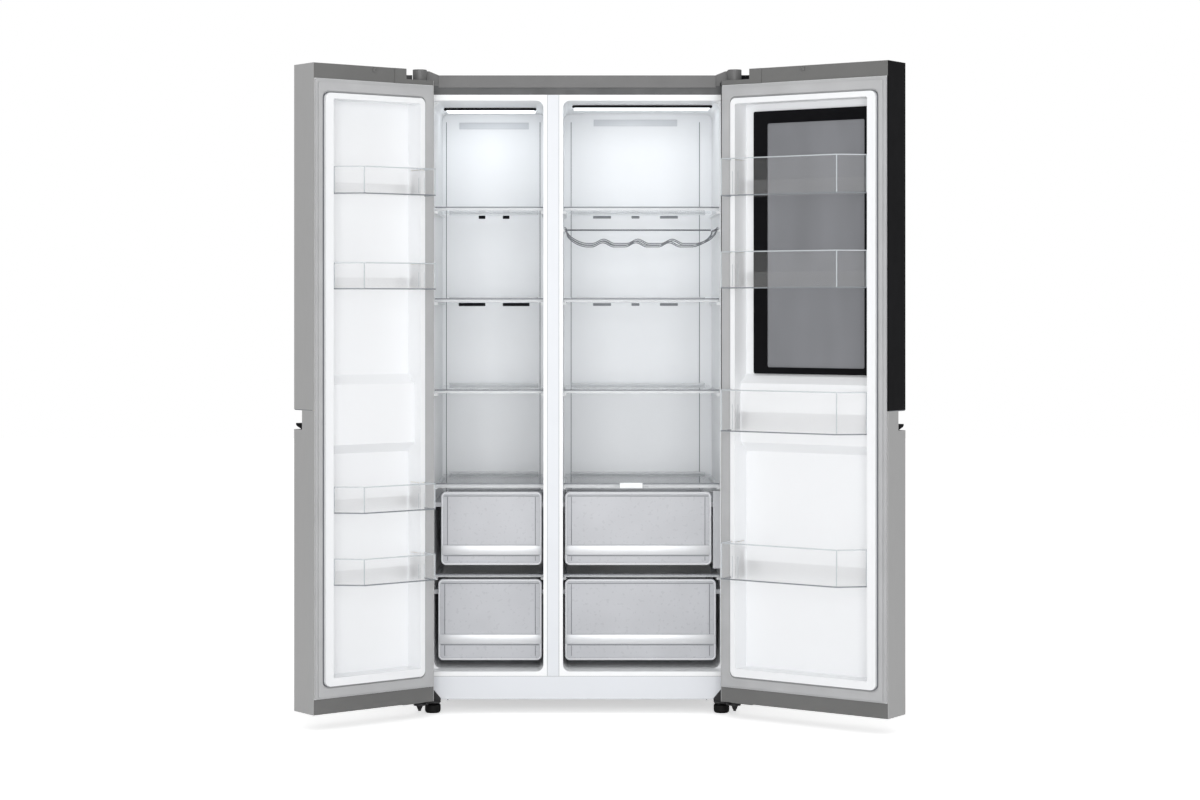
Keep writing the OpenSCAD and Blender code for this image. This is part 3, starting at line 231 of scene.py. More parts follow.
def rubber(name, color, roughness=0.62):
    s = Shader(name, color, roughness)
    s.vary_color(s.noise(9.0, 4.0), shade(color, 0.94), shade(color, 1.05))
    s.vary_roughness(s.noise(60.0, 2.0), roughness * 0.85, roughness * 1.1)
    s.bump(s.noise(700.0, 2.0), 0.00008, 0.4)
    return s.material


def zinc(name, color, roughness=0.38):
    """Zinc plated sheet with its crystal pattern."""
    s = Shader(name, color, roughness, Metallic=0.9)
    cells = s.cells(55.0)
    s.vary_color(cells, shade(color, 0.85), shade(color, 1.08), 0.0, 0.6)
    s.vary_roughness(cells, roughness * 0.8, roughness * 1.25)
    s.bump(s.noise(200.0, 2.0), 0.00004, 0.3)
    return s.material


def lamp_material(name):
    """Frosted lens of a lit ceiling lamp."""
    s = Shader(name, (0.95, 0.97, 1.0), 0.4, Emission_Strength=1.4)
    s.bsdf.inputs["Emission Color"].default_value = (0.93, 0.97, 1.0, 1)
    s.vary_color(s.noise(12.0, 2.0), (0.9, 0.93, 0.96), (1.0, 1.0, 1.0))
    s.bump(s.noise(600.0, 2.0), 0.0001, 0.5)
    return s.material


MATERIALS = {
    "case_paint": painted("case_paint", (0.088, 0.090, 0.092), 0.5),
    "door_steel": brushed("door_steel", (0.545, 0.545, 0.545), 0.36),
    "black_frame": moulded("black_frame", (0.006, 0.006, 0.007), 0.45, spread=0.1,
                           Specular_IOR_Level=0.04),
    "black_glass": glass("black_glass", (0.008, 0.008, 0.009), 1.0, 0.04),
    "white_liner": moulded("white_liner", (0.95, 0.96, 0.97), 0.36, 500.0, 0.00001, 0.005),
    "foam": foam_material("foam", (0.82, 0.72, 0.42)),
    "gasket_grey": rubber("gasket_grey", (0.465, 0.468, 0.475)),
    "cap_grey": moulded("cap_grey", (0.150, 0.150, 0.147), 0.45),
    "clear_plastic": clear_plastic("clear_plastic", (1.0, 1.0, 1.0), 0.03),
    "drawer_plastic": clear_plastic("drawer_plastic", (0.57, 0.58, 0.61), 0.93, 0.3),
    "shelf_glass": glass("shelf_glass", (0.74, 0.82, 0.86), 0.12),
    "shelf_trim": clear_plastic("shelf_trim", (0.86, 0.88, 0.90), 0.45, 0.3),
    "lamp_lens": lamp_material("lamp_lens"),
    "duct_white": moulded("duct_white", (0.93, 0.945, 0.965), 0.36, 500.0, 0.00001, 0.005),
    "rail_plastic": moulded("rail_plastic", (0.55, 0.56, 0.58), 0.35),
    "hinge_black": painted("hinge_black", (0.010, 0.010, 0.011), 0.5),
    "cover_grey": moulded("cover_grey", (0.148, 0.148, 0.148), 0.45),
    "foot_black": moulded("foot_black", (0.008, 0.008, 0.008), 0.55, 300.0, 0.0001,
                          Specular_IOR_Level=0.15),
    "zinc_steel": zinc("zinc_steel", (0.50, 0.51, 0.52)),
    "compressor_black": painted("compressor_black", (0.012, 0.012, 0.013), 0.25),
    "coil_black": painted("coil_black", (0.03, 0.03, 0.032), 0.4),
    "fin_aluminium": zinc("fin_aluminium", (0.78, 0.79, 0.80), 0.3),
    "fan_plastic": moulded("fan_plastic", (0.50, 0.51, 0.53), 0.4),
    "tray_plastic": moulded("tray_plastic", (0.05, 0.05, 0.052), 0.45),
    "rack_plastic": clear_plastic("rack_plastic", (0.20, 0.21, 0.23), 0.92, 0.16),
    "roller_nylon": moulded("roller_nylon", (0.05, 0.05, 0.05), 0.5),
    "window_glass": glass("window_glass", (0.21, 0.215, 0.23), 0.98, 0.06),
}
BAND = brushed("drawer_band", (0.72, 0.73, 0.75), 0.34, 0.35, (0.3, 30, 30))
# near black for slots and recesses; in the freezer's air slots it is painted shade
DARK = moulded("dark_slot", (0.008, 0.008, 0.010), 0.6, Specular_IOR_Level=0.1)
# dark line along the panel seams, and painted shade in the gap beside the door seal
SEAM_AND_GAP_SHADE = moulded("seam_line_and_gap_shade", (0.20, 0.21, 0.23), 0.5)
LINE = moulded("shelf_line", (0.17, 0.18, 0.20), 0.4)
# bright ring on the rounded edge of each drawer front: painted highlight
RIM_HIGHLIGHT = moulded("drawer_rim_highlight", (0.82, 0.83, 0.85), 0.3)
PLATE = moulded("air_plate", (0.70, 0.72, 0.75), 0.35)
# the air slots are dark boxes set into the duct panel: painted shade inside the slots, black in the freezer and
# grey in the fridge
VENT_SHADE = {"freezer": DARK, "fridge": moulded("vent_shade_grey", (0.22, 0.23, 0.25), 0.45)}
# lit and shaded copies of the clear basket plastic: painted highlight on the rims and posts, painted shade on the
# darker foot lines
EDGE_HIGHLIGHT = clear_plastic("plastic_edge_highlight", (0.66, 0.70, 0.73), 0.78)
FOOT_SHADE = clear_plastic("plastic_foot_shade", (0.26, 0.28, 0.30), 0.85)
# the door liners and the panels between the compartments are a little less bright: darker copies of the liner
# white, as painted shade
DOOR_WHITE_SHADED = moulded("door_white_shaded", (0.89, 0.90, 0.915), 0.36, 500.0, 0.00001, 0.005)
PANEL_WHITE_SHADED = moulded("panel_white_shaded", (0.78, 0.80, 0.835), 0.4, 500.0, 0.00001, 0.005)
SEAM = moulded("panel_seam", (0.42, 0.43, 0.45), 0.5)
SHADED_WHITES = {"freezer_door_liner": DOOR_WHITE_SHADED, "fridge_door_liner": DOOR_WHITE_SHADED,
                "mullion_strip": PANEL_WHITE_SHADED, "toe_cover": PANEL_WHITE_SHADED}

for part in frame["record"]["subparts"]:
    mesh = NODES[part["node"]].data
    mesh.materials.clear()
    mesh.materials.append(SHADED_WHITES.get(part["node"], MATERIALS[part["material_slot"]]))


# ---------------------------------------------------------------- mesh helpers
def finish_piece(name, bm, material, body, matrix=Matrix.Identity(4), bevel=0.0):
    """Turns a bmesh into a shown piece that rides on a body."""
    mesh = bpy.data.meshes.new(name)
    bmesh.ops.recalc_face_normals(bm, faces=bm.faces)
    bm.to_mesh(mesh)
    bm.free()
    mesh.transform(matrix)
    if matrix.determinant() < 0:
        mesh.flip_normals()
    piece = bpy.data.objects.new(name, mesh)
    bpy.context.scene.collection.objects.link(piece)
    mesh.materials.append(material)
    if bevel:
        mod = piece.modifiers.new("edge", "BEVEL")
        mod.width = bevel
        mod.segments = 2
        mod.limit_method = "ANGLE"
    for face in mesh.polygons:
        face.use_smooth = bool(bevel)
    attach(piece, body)
    return piece


def add_box(bm, lo, hi):
    """Closed box between two corners, in metres."""
    made = bmesh.ops.create_cube(bm, size=1)["verts"]
    size = [hi[i] - lo[i] for i in range(3)]
    middle = [(hi[i] + lo[i]) / 2 for i in range(3)]
    bmesh.ops.scale(bm, verts=made, vec=size)
    bmesh.ops.translate(bm, verts=made, vec=middle)


def add_ribbon(bm, path, thick, z0, z1):
    """Upright band of even thickness along an open path in plan, with mitred corners."""
    left, right = [], []
    for i, point in enumerate(path):
        here = Vector(point)
        before = (here - Vector(path[i - 1])).normalized() if i else None
        after = (Vector(path[i + 1]) - here).normalized() if i + 1 < len(path) else None
        before, after = before or after, after or before
        along = (before + after).normalized()
        side = Vector((-along.y, along.x)) * (thick / 2 / max(0.4, along.dot(before)))
        left.append(here + side)
        right.append(here - side)
    rows = [[bm.verts.new((p.x, p.y, z)) for p in line]
            for line, z in ((left, z0), (right, z0), (right, z1), (left, z1))]
    for a, b in zip(rows, rows[1:] + rows[:1]):
        for i in range(len(path) - 1):
            bm.faces.new((a[i], a[i + 1], b[i + 1], b[i]))
    for i in (0, -1):
        bm.faces.new([row[i] for row in rows])


def rounded_loop(x0, x1, z0, z1, radius, steps=6):
    """Closed outline of a rectangle with round corners, in x and z."""
    points = []
    for cx, cz, start in ((x1 - radius, z1 - radius, 0), (x0 + radius, z1 - radius, 90),
                          (x0 + radius, z0 + radius, 180), (x1 - radius, z0 + radius, 270)):
        for k in range(steps + 1):
            a = math.radians(start + 90 * k / steps)
            points.append((cx + radius * math.cos(a), cz + radius * math.sin(a)))
    return points


def add_frame(bm, loop, width, y0, y1):
    """Closed band of even width that follows an outline in x and z, between two depths."""
    count = len(loop)
    inner = []
    for i in range(count):
        before = (Vector(loop[i]) - Vector(loop[i - 1])).normalized()
        after = (Vector(loop[(i + 1) % count]) - Vector(loop[i])).normalized()
        along = (before + after).normalized()
        inner.append(Vector(loop[i]) + Vector((-along.y, along.x)) * width)
    rows = [[bm.verts.new((p[0], y, p[1])) for p in line]
            for line, y in ((loop, y0), (inner, y0), (inner, y1), (loop, y1))]
    for a, b in zip(rows, rows[1:] + rows[:1]):
        for i in range(count):
            j = (i + 1) % count
            bm.faces.new((a[i], a[j], b[j], b[i]))


def add_disc(bm, middle, axis, radius, height, sides=20):
    """Short round bar whose low end is at middle and which points along axis."""
    turn = Vector((0, 0, 1)).rotation_difference(Vector(axis)).to_matrix().to_4x4()
    place = Matrix.Translation(Vector(middle) + Vector(axis) * height / 2) @ turn
    bmesh.ops.create_cone(bm, cap_ends=True, segments=sides, radius1=radius,
                          radius2=radius * 0.8, depth=height, matrix=place)


# ---------------------------------------------------------------- door baskets
BASKET_CUT = 58 * MM  # slanted free end
BASKET_INSET = 2 * MM  # from the outside of a basket to the middle of its edges
HINGE_END_Y = 51 * MM  # the edges at the hinge end start this far behind the front
EDGE_T = 3.2 * MM
PROUD = 0.4 * MM  # how far an edge stands out above or below
RIM_DROP = 2.6 * MM
FOOT_RISE = 3.0 * MM
POST_HALF = 1.3 * MM
RIB_HALF = 0.6 * MM
RIBS_X = (34 * MM, 52 * MM)  # from the hinge end
RIB_FRONT, RIB_BACK = 0.9 * MM, 2.2 * MM
RIB_FOOT = 6 * MM
RIB_SHORT = 0.35  # share of the basket's height above a rib


def basket_details(side, body):
    """Rim, foot line and corner posts of each basket: painted highlight on the rim and posts, which catch the
    light in clear plastic, and painted shade on the darker foot line.
    """
    matrix = door_matrix(side)
    for i, (lo, hi) in enumerate(levels(side + "_door_baskets", matrix)):
        x0, x1 = lo.x + BASKET_INSET, hi.x - BASKET_INSET
        y1 = hi.y - BASKET_INSET
        corners = [(x0, hi.y - HINGE_END_Y), (x0, y1), (x1 - BASKET_CUT, y1),
                   (x1, y1 - BASKET_CUT), (x1, lo.y + BASKET_INSET)]
        name = f"{side}_basket_{i + 1}"
        rim = bmesh.new()
        add_ribbon(rim, corners, EDGE_T, hi.z - RIM_DROP, hi.z + PROUD)
        finish_piece(name + "_rim", rim, EDGE_HIGHLIGHT, body, matrix, 0.6 * MM)
        foot = bmesh.new()
        add_ribbon(foot, corners, EDGE_T, lo.z - PROUD, lo.z + FOOT_RISE)
        finish_piece(name + "_foot", foot, FOOT_SHADE, body, matrix, 0.6 * MM)
        posts = bmesh.new()
        for x, y in (corners[1], corners[2], corners[3]):
            add_box(posts, (x - POST_HALF, y - POST_HALF, lo.z + FOOT_RISE),
                    (x + POST_HALF, y + POST_HALF, hi.z - RIM_DROP))
        # upright ribs inside the hinge end, as moulded for stiffness
        for x in (x0 + RIBS_X[0], x0 + RIBS_X[1]):
            add_box(posts, (x - RIB_HALF, y1 - RIB_BACK, lo.z + RIB_FOOT),
                    (x + RIB_HALF, y1 - RIB_FRONT, hi.z - RIB_SHORT * (hi.z - lo.z)))
        finish_piece(name + "_posts", posts, EDGE_HIGHLIGHT, body, matrix, 0.4 * MM)


# ---------------------------------------------------------------- doors
NOTCH_X1 = 71.5 * MM  # end of the notch above the hinge, from the pin
NOTCH_Z = 28 * MM  # its floor, below the top of the door
CORNER_X = 22 * MM  # middle of the door's round hinge corner, from the pin
CORNER_R = 42 * MM
WELL_T = 3 * MM  # wall behind the notch
WELL_IN = 3.5 * MM  # from the round corner in to the wall
WELL_BACK = 1.5 * MM
WELL_TOP = 7 * MM
WELL_TURN = (224, 46, 8)  # start and sweep of the wall's round part in degrees, and its steps
BUMP_R = 6.5 * MM
BUMP_DROP = 9 * MM  # below the top of the door
SEAL_R = 17 * MM  # corner of the painted shade loop in the groove beside the seal
SEAL_GAP = 0.9 * MM
NOTCH_WALL = {"freezer": moulded("notch_wall", (0.06, 0.06, 0.062), 0.5), "fridge": DARK}


def door_details(side, body):
    """Wall behind the hinge notch, panel seam, cap bump, and painted shade in the groove beside the seal."""
    matrix = door_matrix(side)
    inverse = matrix.inverted()
    caps = [inverse @ v.co for v in NODES[side + "_door_caps"].data.vertices]
    back, top = min(p.y for p in caps), max(p.z for p in caps)
    start, sweep, steps = WELL_TURN
    radius = CORNER_R - WELL_IN
    corner_y = back - WELL_BACK + CORNER_R
    path = [(CORNER_X + radius * math.cos(a), corner_y + radius * math.sin(a))
            for a in [math.radians(start + sweep * k / steps) for k in range(steps + 1)]]
    path.append((NOTCH_X1, corner_y - radius))
    wall = bmesh.new()
    add_ribbon(wall, path, WELL_T, top - NOTCH_Z + 0.3 * MM, top - WELL_TOP)
    finish_piece(side + "_hinge_well", wall, NOTCH_WALL[side], body, matrix)
    lower = [inverse @ v.co for v in NODES[side + "_door_lower_panel"].data.vertices]
    free_x, split_z = max(p.x for p in lower), max(p.z for p in lower)
    seam = bmesh.new()
    add_box(seam, (free_x - 0.4 * MM, min(p.y for p in lower) + 6 * MM, split_z - 0.6 * MM),
            (free_x + 0.2 * MM, max(p.y for p in lower) - 4 * MM, split_z + 0.9 * MM))
    finish_piece(side + "_panel_seam", seam, SEAM_AND_GAP_SHADE, body, matrix)
    front = max(p.y for p in caps)
    bump_x = (min(p.x for p in caps) + max(p.x for p in caps)) / 2
    bump = bmesh.new()
    add_screw(bump, (bump_x, front - 1.2 * MM, top - BUMP_DROP), (0, 1, 0), BUMP_R)
    finish_piece(side + "_cap_bump", bump, MATERIALS["cap_grey"], body, matrix)
    liner = [inverse @ v.co for v in NODES[side + "_door_liner"].data.vertices]
    rim_y = max(p.y for p in liner)
    dyke = [p for p in liner if p.y > rim_y - 0.5 * MM]
    loop = rounded_loop(min(p.x for p in dyke) - SEAL_GAP, max(p.x for p in dyke) + SEAL_GAP,
                        min(p.z for p in dyke) - SEAL_GAP, max(p.z for p in dyke) + SEAL_GAP,
                        SEAL_R)
    # a dark loop sunk in the gap between the seal and the liner's rim: painted shade in the groove
    groove = bmesh.new()
    add_frame(groove, loop, -1.4 * MM, rim_y - 14.9 * MM, rim_y - 8.2 * MM)
    finish_piece(side + "_seal_gap_shade", groove, SEAM_AND_GAP_SHADE, body, matrix)


# ---------------------------------------------------------------- drawers
BAND_H = 26 * MM
BAND_LIFT = {"upper": 29 * MM, "lower": 46 * MM}
FRAME_W = 7 * MM
BIN_IN = 17 * MM
LINE_W = 1.6 * MM
RIM_IN = 2 * MM  # from the outline of a front in to its bright rim of painted highlight
RIM_W = 2.2 * MM
RIM_R = 12 * MM


def drawer_details():
    """Brushed band, lines behind the front and a painted highlight as a bright rim on each drawer."""
    for side in ("freezer", "fridge"):
        for level in ("upper", "lower"):
            body = f"{side}_{level}_drawer"
            lo, hi = node_box(body)
            z0 = lo.z + BAND_LIFT[level]
            band = bmesh.new()
            add_box(band, (lo.x + 0.6 * MM, lo.y - 1.4 * MM, z0),
                    (hi.x - 0.6 * MM, lo.y + 2.2 * MM, z0 + BAND_H))
            finish_piece(body + "_band", band, BAND, body, bevel=0.8 * MM)
            # seen through the front: rim of the bin, its two sides and the lip under the band
            top = hi.z - FRAME_W - 4 * MM
            side_x = [lo.x + BIN_IN, hi.x - BIN_IN - LINE_W]
            lines = bmesh.new()
            spans = [(lo.x + FRAME_W, top - LINE_W, hi.x - FRAME_W, top),
                     (lo.x + FRAME_W, z0 - 4 * MM, hi.x - FRAME_W, z0 - 4 * MM + LINE_W)]
            spans += [(x, lo.z + 12 * MM, x + LINE_W, z0 - 5 * MM) for x in side_x]
            spans += [(x, z0 + BAND_H + 1 * MM, x + LINE_W, top - 3 * MM) for x in side_x]
            for xa, za, xb, zb in spans:
                add_box(lines, (xa, lo.y + 0.6 * MM, za), (xb, lo.y + 2.6 * MM, zb))
            finish_piece(body + "_lines", lines, LINE, body, bevel=0.3 * MM)
            # painted highlight: a bright line along the rounded edge around the front
            loop = rounded_loop(lo.x + RIM_IN, hi.x - RIM_IN, lo.z + RIM_IN, hi.z - RIM_IN,
                                RIM_R)
            rim = bmesh.new()
            add_frame(rim, loop, RIM_W, lo.y - 0.6 * MM, lo.y + 1.0 * MM)
            finish_piece(body + "_rim", rim, RIM_HIGHLIGHT, body, bevel=0.3 * MM)


# ---------------------------------------------------------------- cabinet inside
SHELF_BOW = 4 * MM
SHELF_STEPS = 16


def shelf_details():
    """Thin grey front line of each shelf, bowed like its trim."""
    for side in ("freezer", "fridge"):
        trims = node_box(side + "_shelf_trims")
        for i, (lo, hi) in enumerate(levels(side + "_shelves", gap=0.05)):
            top = hi.z + 1 * MM
            path = []
            for k in range(SHELF_STEPS + 1):
                u = k / SHELF_STEPS
                bow = SHELF_BOW * (1 - (2 * u - 1) ** 2)
                path.append((trims[0].x + (trims[1].x - trims[0].x) * u,
                             trims[0].y + SHELF_BOW - bow - 0.2 * MM))
            line = bmesh.new()
            add_ribbon(line, path, 1.2 * MM, top - 2.6 * MM, top + 0.4 * MM)
            finish_piece(f"{side}_shelf_{i + 1}_line", line, LINE, "cabinet",
                         bevel=0.3 * MM)


RACK_PITCH = 97 * MM  # from bottle to bottle
RACK_HUMP = 12 * MM
RACK_END = 60 * MM  # length of each end that rises to its hook
RACK_RISE = 44 * MM
RACK_MIDDLE = 209 * MM  # from its left end to its middle hump
RACK_STEPS = 120
HUMP_HALF = 0.33  # half width of a hump, as a share of the pitch
BAR_R = 1.4 * MM
TWIN_DROP = 4.4 * MM  # between the two bars of a rail
HOOK_X, HOOK_Z = 4.4 * MM, 0.8 * MM


def rack_height(x, x0, x1, middle):
    """Height of the rack's rail above its valleys: humps between bottles and rising ends."""
    end = min(x - x0, x1 - x)
    if end < RACK_END:
        return RACK_RISE * (1 - math.sqrt(1 - (1 - end / RACK_END) ** 2)) ** 0.8
    nearest = abs((x - middle + RACK_PITCH / 2) % RACK_PITCH - RACK_PITCH / 2)
    half = HUMP_HALF * RACK_PITCH
    return RACK_HUMP * 0.5 * (1 + math.cos(math.pi * nearest / half)) if nearest < half else 0.0


def add_tube(bm, points, radius, sides=10):
    """Closed round bar along a row of points."""
    rings = []
    for i, point in enumerate(points):
        before, after = points[max(0, i - 1)], points[min(len(points) - 1, i + 1)]
        along = (Vector(after) - Vector(before)).normalized()
        side = along.cross(Vector((0, 1, 0))) if abs(along.y) < 0.9 else Vector((1, 0, 0))
        side.normalize()
        up = side.cross(along)
        ring = []
        for k in range(sides):
            a = math.tau * k / sides
            spoke = math.cos(a) * side + math.sin(a) * up
            ring.append(bm.verts.new(Vector(point) + radius * spoke))
        rings.append(ring)
    for low, high in zip(rings, rings[1:]):
        for k in range(sides):
            bm.faces.new((low[k], low[(k + 1) % sides], high[(k + 1) % sides], high[k]))
    bm.faces.new(rings[0])
    bm.faces.new(rings[-1])


def rack_details():
    """Wavy bottle rack of twin bars with hooked ends, in the place of its plain solid."""
    lo, hi = node_box("bottle_rack")
    x0, x1 = lo.x + 5 * MM, hi.x - 5 * MM
    middle = lo.x + RACK_MIDDLE
    valley = lo.z + 3.6 * MM
    bm = bmesh.new()
    for y in (lo.y + 3.5 * MM, hi.y - 3.5 * MM):
        for drop in (0, TWIN_DROP):
            row = []
            for k in range(RACK_STEPS + 1):
                x = x0 + (x1 - x0) * k / RACK_STEPS
                row.append((x, y, valley + 2.6 * MM - drop + rack_height(x, x0, x1, middle)))
            first = (row[0][0] - HOOK_X, y, row[0][2] + HOOK_Z)
            last = (row[-1][0] + HOOK_X, y, row[-1][2] + HOOK_Z)
            add_tube(bm, [first, *row, last], BAR_R)
    for x in (x0 + 2 * MM, x1 - 2 * MM):
        add_tube(bm, [(x, lo.y + 4 * MM, valley + RACK_RISE - 2 * MM),
                      (x, hi.y - 4 * MM, valley + RACK_RISE - 2 * MM)], 2.6 * MM)
    add_tube(bm, [(x0 + 4 * MM, hi.y - 4 * MM, hi.z - 4 * MM),
                  (x1 - 4 * MM, hi.y - 4 * MM, hi.z - 4 * MM)], 2.2 * MM)
    rack = finish_piece("wavy_bottle_rack", bm, MATERIALS["rack_plastic"], "cabinet")
    for face in rack.data.polygons:
        face.use_smooth = True
    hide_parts("bottle_rack")


def lamp_details():
    """Dark slot with a round end on both sides, in front of each lit lens."""
    middle = (node_box("freezer_liner")[1].x + node_box("fridge_liner")[0].x) / 2
    points = [v.co for v in NODES["ceiling_lamps"].data.vertices]
    for side, chosen in (("freezer", [p for p in points if p.x < middle]),
                         ("fridge", [p for p in points if p.x >= middle])):
        x0, x1 = min(p.x for p in chosen), max(p.x for p in chosen)
        y0 = min(p.y for p in chosen)
        z1 = max(p.z for p in chosen)
        z0 = min(p.z for p in chosen)
        bm = bmesh.new()
        add_box(bm, (x0 - 0.5 * MM, y0 - 1.0 * MM, z0 - 0.6 * MM),
                (x1 + 0.5 * MM, y0 + 9 * MM, z1 - 0.3 * MM))
        for x in (x0 + 2 * MM, x1 - 2 * MM):
            add_disc(bm, (x, y0 - 0.5 * MM, (z0 + z1) / 2 - 1.5 * MM), (0, -1, 0),
                     4.5 * MM, 3 * MM)
        finish_piece(side + "_lamp_slot", bm, DARK, "cabinet")


# half width of the embossed plate at the top of each duct, and its drop below the top
PLATE_PLACE = {"freezer": (104 * MM, 21 * MM), "fridge": (125 * MM, 12 * MM)}
PLATE_H = 20 * MM
DUCT_R = 20 * MM
DUCT_EDGE_W = 7 * MM
# seam places from both sides, and the ends of the air slots from the middle, all in mm
SEAM_INSETS = {"freezer": (11, 16), "fridge": (21, 36)}
SLOTS = {"freezer": [[(-46, -26), (26, 46)], [(-106, -26), (26, 106)]],
         "fridge": [[(-127, -73), (-12, 12), (73, 127)]] * 2}
SLOT_DROPS = (13, 16)  # below each of the two upper shelves, in mm
SLOT_HALF = {"freezer": 5 * MM, "fridge": 4 * MM}
FRIDGE_SLOT_MIDDLE = 213.5 * MM  # the fridge slots are not in the middle of their panel


def duct_details():
    """Seams, air slots darkened with painted shade, edge and embossed plate of the duct panels."""
    levels_up = sorted({round(hi.z, 3) for _, hi in levels("fridge_shelves", gap=0.05)})[-2:]
    for side in ("freezer", "fridge"):
        lo, hi = node_box(side + "_duct_panel")
        y = lo.y
        seams = bmesh.new()
        left, right = SEAM_INSETS[side]
        for x in (lo.x + left * MM, hi.x - right * MM):
            add_box(seams, (x - 0.9 * MM, y - 0.05 * MM, lo.z + 22 * MM),
                    (x + 0.9 * MM, y + 1.9 * MM, hi.z - 20 * MM))
        finish_piece(side + "_duct_seams", seams, SEAM_AND_GAP_SHADE, "cabinet")
        middle = lo.x + FRIDGE_SLOT_MIDDLE if side == "fridge" else (lo.x + hi.x) / 2
        vent_shade = bmesh.new()
        tall = SLOT_HALF[side]
        for z, row, drop in zip(reversed(levels_up), SLOTS[side], SLOT_DROPS):
            for a, b in row:
                add_box(vent_shade, (middle + a * MM, y + 1.5 * MM, z - drop * MM - tall),
                        (middle + b * MM, y + 4.5 * MM, z - drop * MM + tall))
        finish_piece(side + "_duct_vent_shade", vent_shade, VENT_SHADE[side], "cabinet")
        edge = bmesh.new()
        loop = rounded_loop(lo.x - 0.8 * MM, hi.x + 0.8 * MM, lo.z, hi.z + 3.8 * MM, DUCT_R)
        add_frame(edge, loop, DUCT_EDGE_W, y - 0.8 * MM, y + 1.2 * MM)
        finish_piece(side + "_duct_edge", edge, MATERIALS["duct_white"], "cabinet")
        half, drop = PLATE_PLACE[side]
        plate = bmesh.new()
        add_box(plate, (middle - half, y + 0.5 * MM, hi.z - drop - PLATE_H),
                (middle + half, y + 1.4 * MM, hi.z - drop))
        finish_piece(side + "_air_plate", plate, PLATE, "cabinet", bevel=0.3 * MM)


def front_seams():
    """Fine joints between the strip in the middle, the liner flanges and the toe cover."""
    lo, hi = node_box("mullion_strip")
    toe_lo, toe_hi = node_box("toe_cover")
    bm = bmesh.new()
    for x in (lo.x, hi.x):
        add_box(bm, (x - 0.7 * MM, lo.y - 0.15 * MM, lo.z), (x + 0.7 * MM, lo.y + 0.8 * MM, hi.z))
    add_box(bm, (toe_lo.x, toe_lo.y - 0.15 * MM, toe_hi.z - 0.2 * MM),
            (toe_hi.x, toe_lo.y + 0.8 * MM, toe_hi.z + 1.0 * MM))
    finish_piece("front_seams", bm, SEAM, "cabinet")


# ---------------------------------------------------------------- fasteners
SCREW_R = 4 * MM
SCREW_IN = 12 * MM  # from the edge of a sheet


def add_screw(bm, place, axis, radius):
    """Domed screw head with a cross on top."""
    turn = Vector((0, 0, 1)).rotation_difference(Vector(axis)).to_matrix().to_4x4()
    matrix = Matrix.Translation(Vector(place)) @ turn
    rings = []
    for k in range(5):
        angle = math.pi / 2 * k / 5
        rings.append((radius * math.cos(angle), radius * 0.45 * math.sin(angle)))
    made = []
    for r, z in rings:
        made.append([bm.verts.new(matrix @ Vector((r * math.cos(a), r * math.sin(a), z)))
                     for a in [math.tau * i / 16 for i in range(16)]])
    for low, high in zip(made, made[1:]):
        for i in range(16):
            bm.faces.new((low[i], low[(i + 1) % 16], high[(i + 1) % 16], high[i]))
    bm.faces.new(made[-1])
    bm.faces.new(list(reversed(made[0])))
    for turn_by in (0, math.pi / 2):
        arm = bmesh.ops.create_cube(bm, size=1)["verts"]
        bmesh.ops.scale(bm, verts=arm, vec=(radius * 1.1, radius * 0.22, radius * 0.1))
        bmesh.ops.transform(bm, verts=arm, matrix=matrix @ Matrix.Rotation(turn_by, 4, "Z")
                            @ Matrix.Translation((0, 0, radius * 0.44)))


def fasteners():
    """Screws of the back panel, the machine cover and the strip along the top."""
    bm = bmesh.new()
    lo, hi = node_box("back_panel")
    for k in range(6):
        z = lo.z + 0.03 + (hi.z - lo.z - 0.06) * k / 5
        for x in (lo.x + SCREW_IN, hi.x - SCREW_IN):
            add_screw(bm, (x, hi.y, z), (0, 1, 0), SCREW_R)
    for k in range(4):
        x = lo.x + 0.1 + (hi.x - lo.x - 0.2) * k / 3
        add_screw(bm, (x, hi.y, hi.z - SCREW_IN), (0, 1, 0), SCREW_R)
    lo, hi = node_box("machine_cover")
    for k in range(5):
        x = lo.x + 0.02 + (hi.x - lo.x - 0.04) * k / 4
        for z in (lo.z + SCREW_IN, hi.z - SCREW_IN):
            add_screw(bm, (x, hi.y, z), (0, 1, 0), SCREW_R)
    lo, hi = node_box("top_cover")
    for k in range(4):
        x = lo.x + 0.06 + (hi.x - lo.x - 0.12) * k / 3
        add_screw(bm, (x, (lo.y + hi.y) / 2, hi.z), (0, 0, 1), SCREW_R)
    finish_piece("cabinet_screws", bm, MATERIALS["zinc_steel"], "cabinet")


# ---------------------------------------------------------------- stage
def stage():
    """Pale floor, which is part of the stage and not of the object."""
    bm = bmesh.new()
    bmesh.ops.create_grid(bm, x_segments=1, y_segments=1, size=14)
    mesh = bpy.data.meshes.new("floor")
    bm.to_mesh(mesh)
    bm.free()
    floor = bpy.data.objects.new("floor", mesh)
    bpy.context.scene.collection.objects.link(floor)
    s = Shader("floor_pale", (0.93, 0.93, 0.93), 0.7)
    s.vary_color(s.noise(1.5, 2.0), (0.92, 0.92, 0.92), (0.94, 0.94, 0.94))
    s.bsdf.inputs["Emission Color"].default_value = (1, 1, 1, 1)
    path = s.add("ShaderNodeLightPath")
    glow = s.remap(path.outputs["Is Camera Ray"], 0.0, FLOOR_GLOW, 0.0, 1.0)
    s.link(glow, s.bsdf.inputs["Emission Strength"])
    mesh.materials.append(s.material)


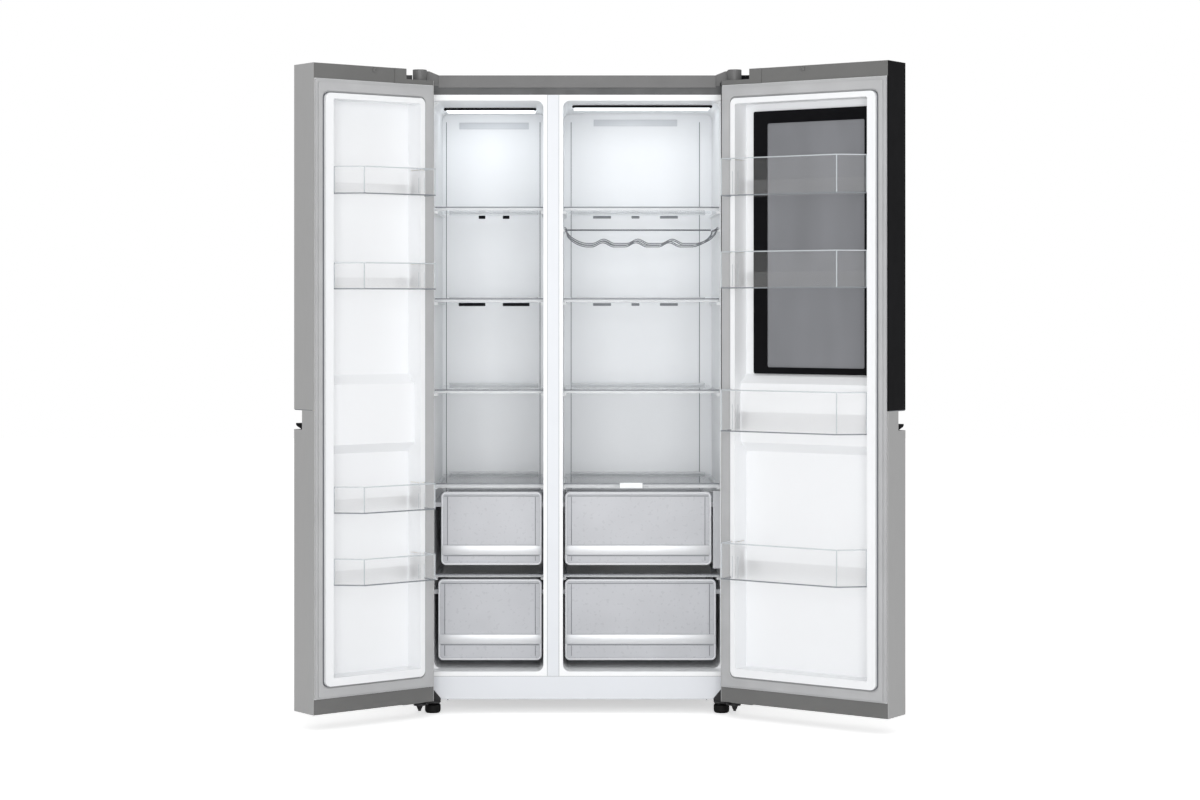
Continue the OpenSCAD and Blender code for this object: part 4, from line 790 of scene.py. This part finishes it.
def area_light(name, place, target, size, power):
    data = bpy.data.lights.new(name, "AREA")
    data.shape = "RECTANGLE"
    data.size, data.size_y = size
    data.energy = power
    light = bpy.data.objects.new(name, data)
    light.location = place
    light.rotation_euler = (Vector(target) - Vector(place)).to_track_quat("-Z", "Y").to_euler()
    bpy.context.scene.collection.objects.link(light)


FRONT_POWER = 108
TOP_POWER = 16
WORLD_LIGHT = 0.62  # light that the white studio around gives
FLOOR_GLOW = 0.55  # lifts the floor to the white of the studio behind it


def lights():
    """Soft light from the front and above, in a white studio."""
    middle = (CASE_X, FRONT_Y, 0.95)
    area_light("front", (CASE_X, FRONT_Y - 5.2, 1.5), middle, (3.4, 2.6), FRONT_POWER)
    area_light("top", (CASE_X, FRONT_Y - 0.8, 4.2), middle, (3.6, 2.6), TOP_POWER)
    world = bpy.data.worlds.new("studio")
    bpy.context.scene.world = world
    world.use_nodes = True
    tree = world.node_tree
    background = tree.nodes["Background"]
    background.inputs["Color"].default_value = (1, 1, 1, 1)
    path = tree.nodes.new("ShaderNodeLightPath")
    strength = tree.nodes.new("ShaderNodeMapRange")
    strength.inputs["To Min"].default_value = WORLD_LIGHT
    strength.inputs["To Max"].default_value = 1.0
    tree.links.new(path.outputs["Is Camera Ray"], strength.inputs["Value"])
    tree.links.new(strength.outputs["Result"], background.inputs["Strength"])
    bpy.context.scene.view_settings.view_transform = "Standard"


CAMERA_BACK = 6.919  # from the front of the case to the camera
CAMERA_HEIGHT = 1.1407
LENS = 74.4  # in mm, for a sensor 36 mm wide
SHIFT = (0.01905, -0.07978)


def camera():
    """Level camera in front of the object, fitted to the outline of the open doors."""
    data = bpy.data.cameras.new("camera")
    data.sensor_width = 36
    data.lens = LENS
    data.shift_x, data.shift_y = SHIFT
    data.clip_end = 60
    cam = bpy.data.objects.new("camera", data)
    cam.location = (CASE_X, FRONT_Y - CAMERA_BACK, CAMERA_HEIGHT)
    cam.rotation_euler = (math.pi / 2, 0, 0)
    bpy.context.scene.collection.objects.link(cam)
    bpy.context.scene.camera = cam


camera()
for door in ("freezer", "fridge"):
    basket_details(door, door + "_door")
    door_details(door, door + "_door")
drawer_details()
shelf_details()
rack_details()
lamp_details()
duct_details()
front_seams()
fasteners()
stage()
lights()
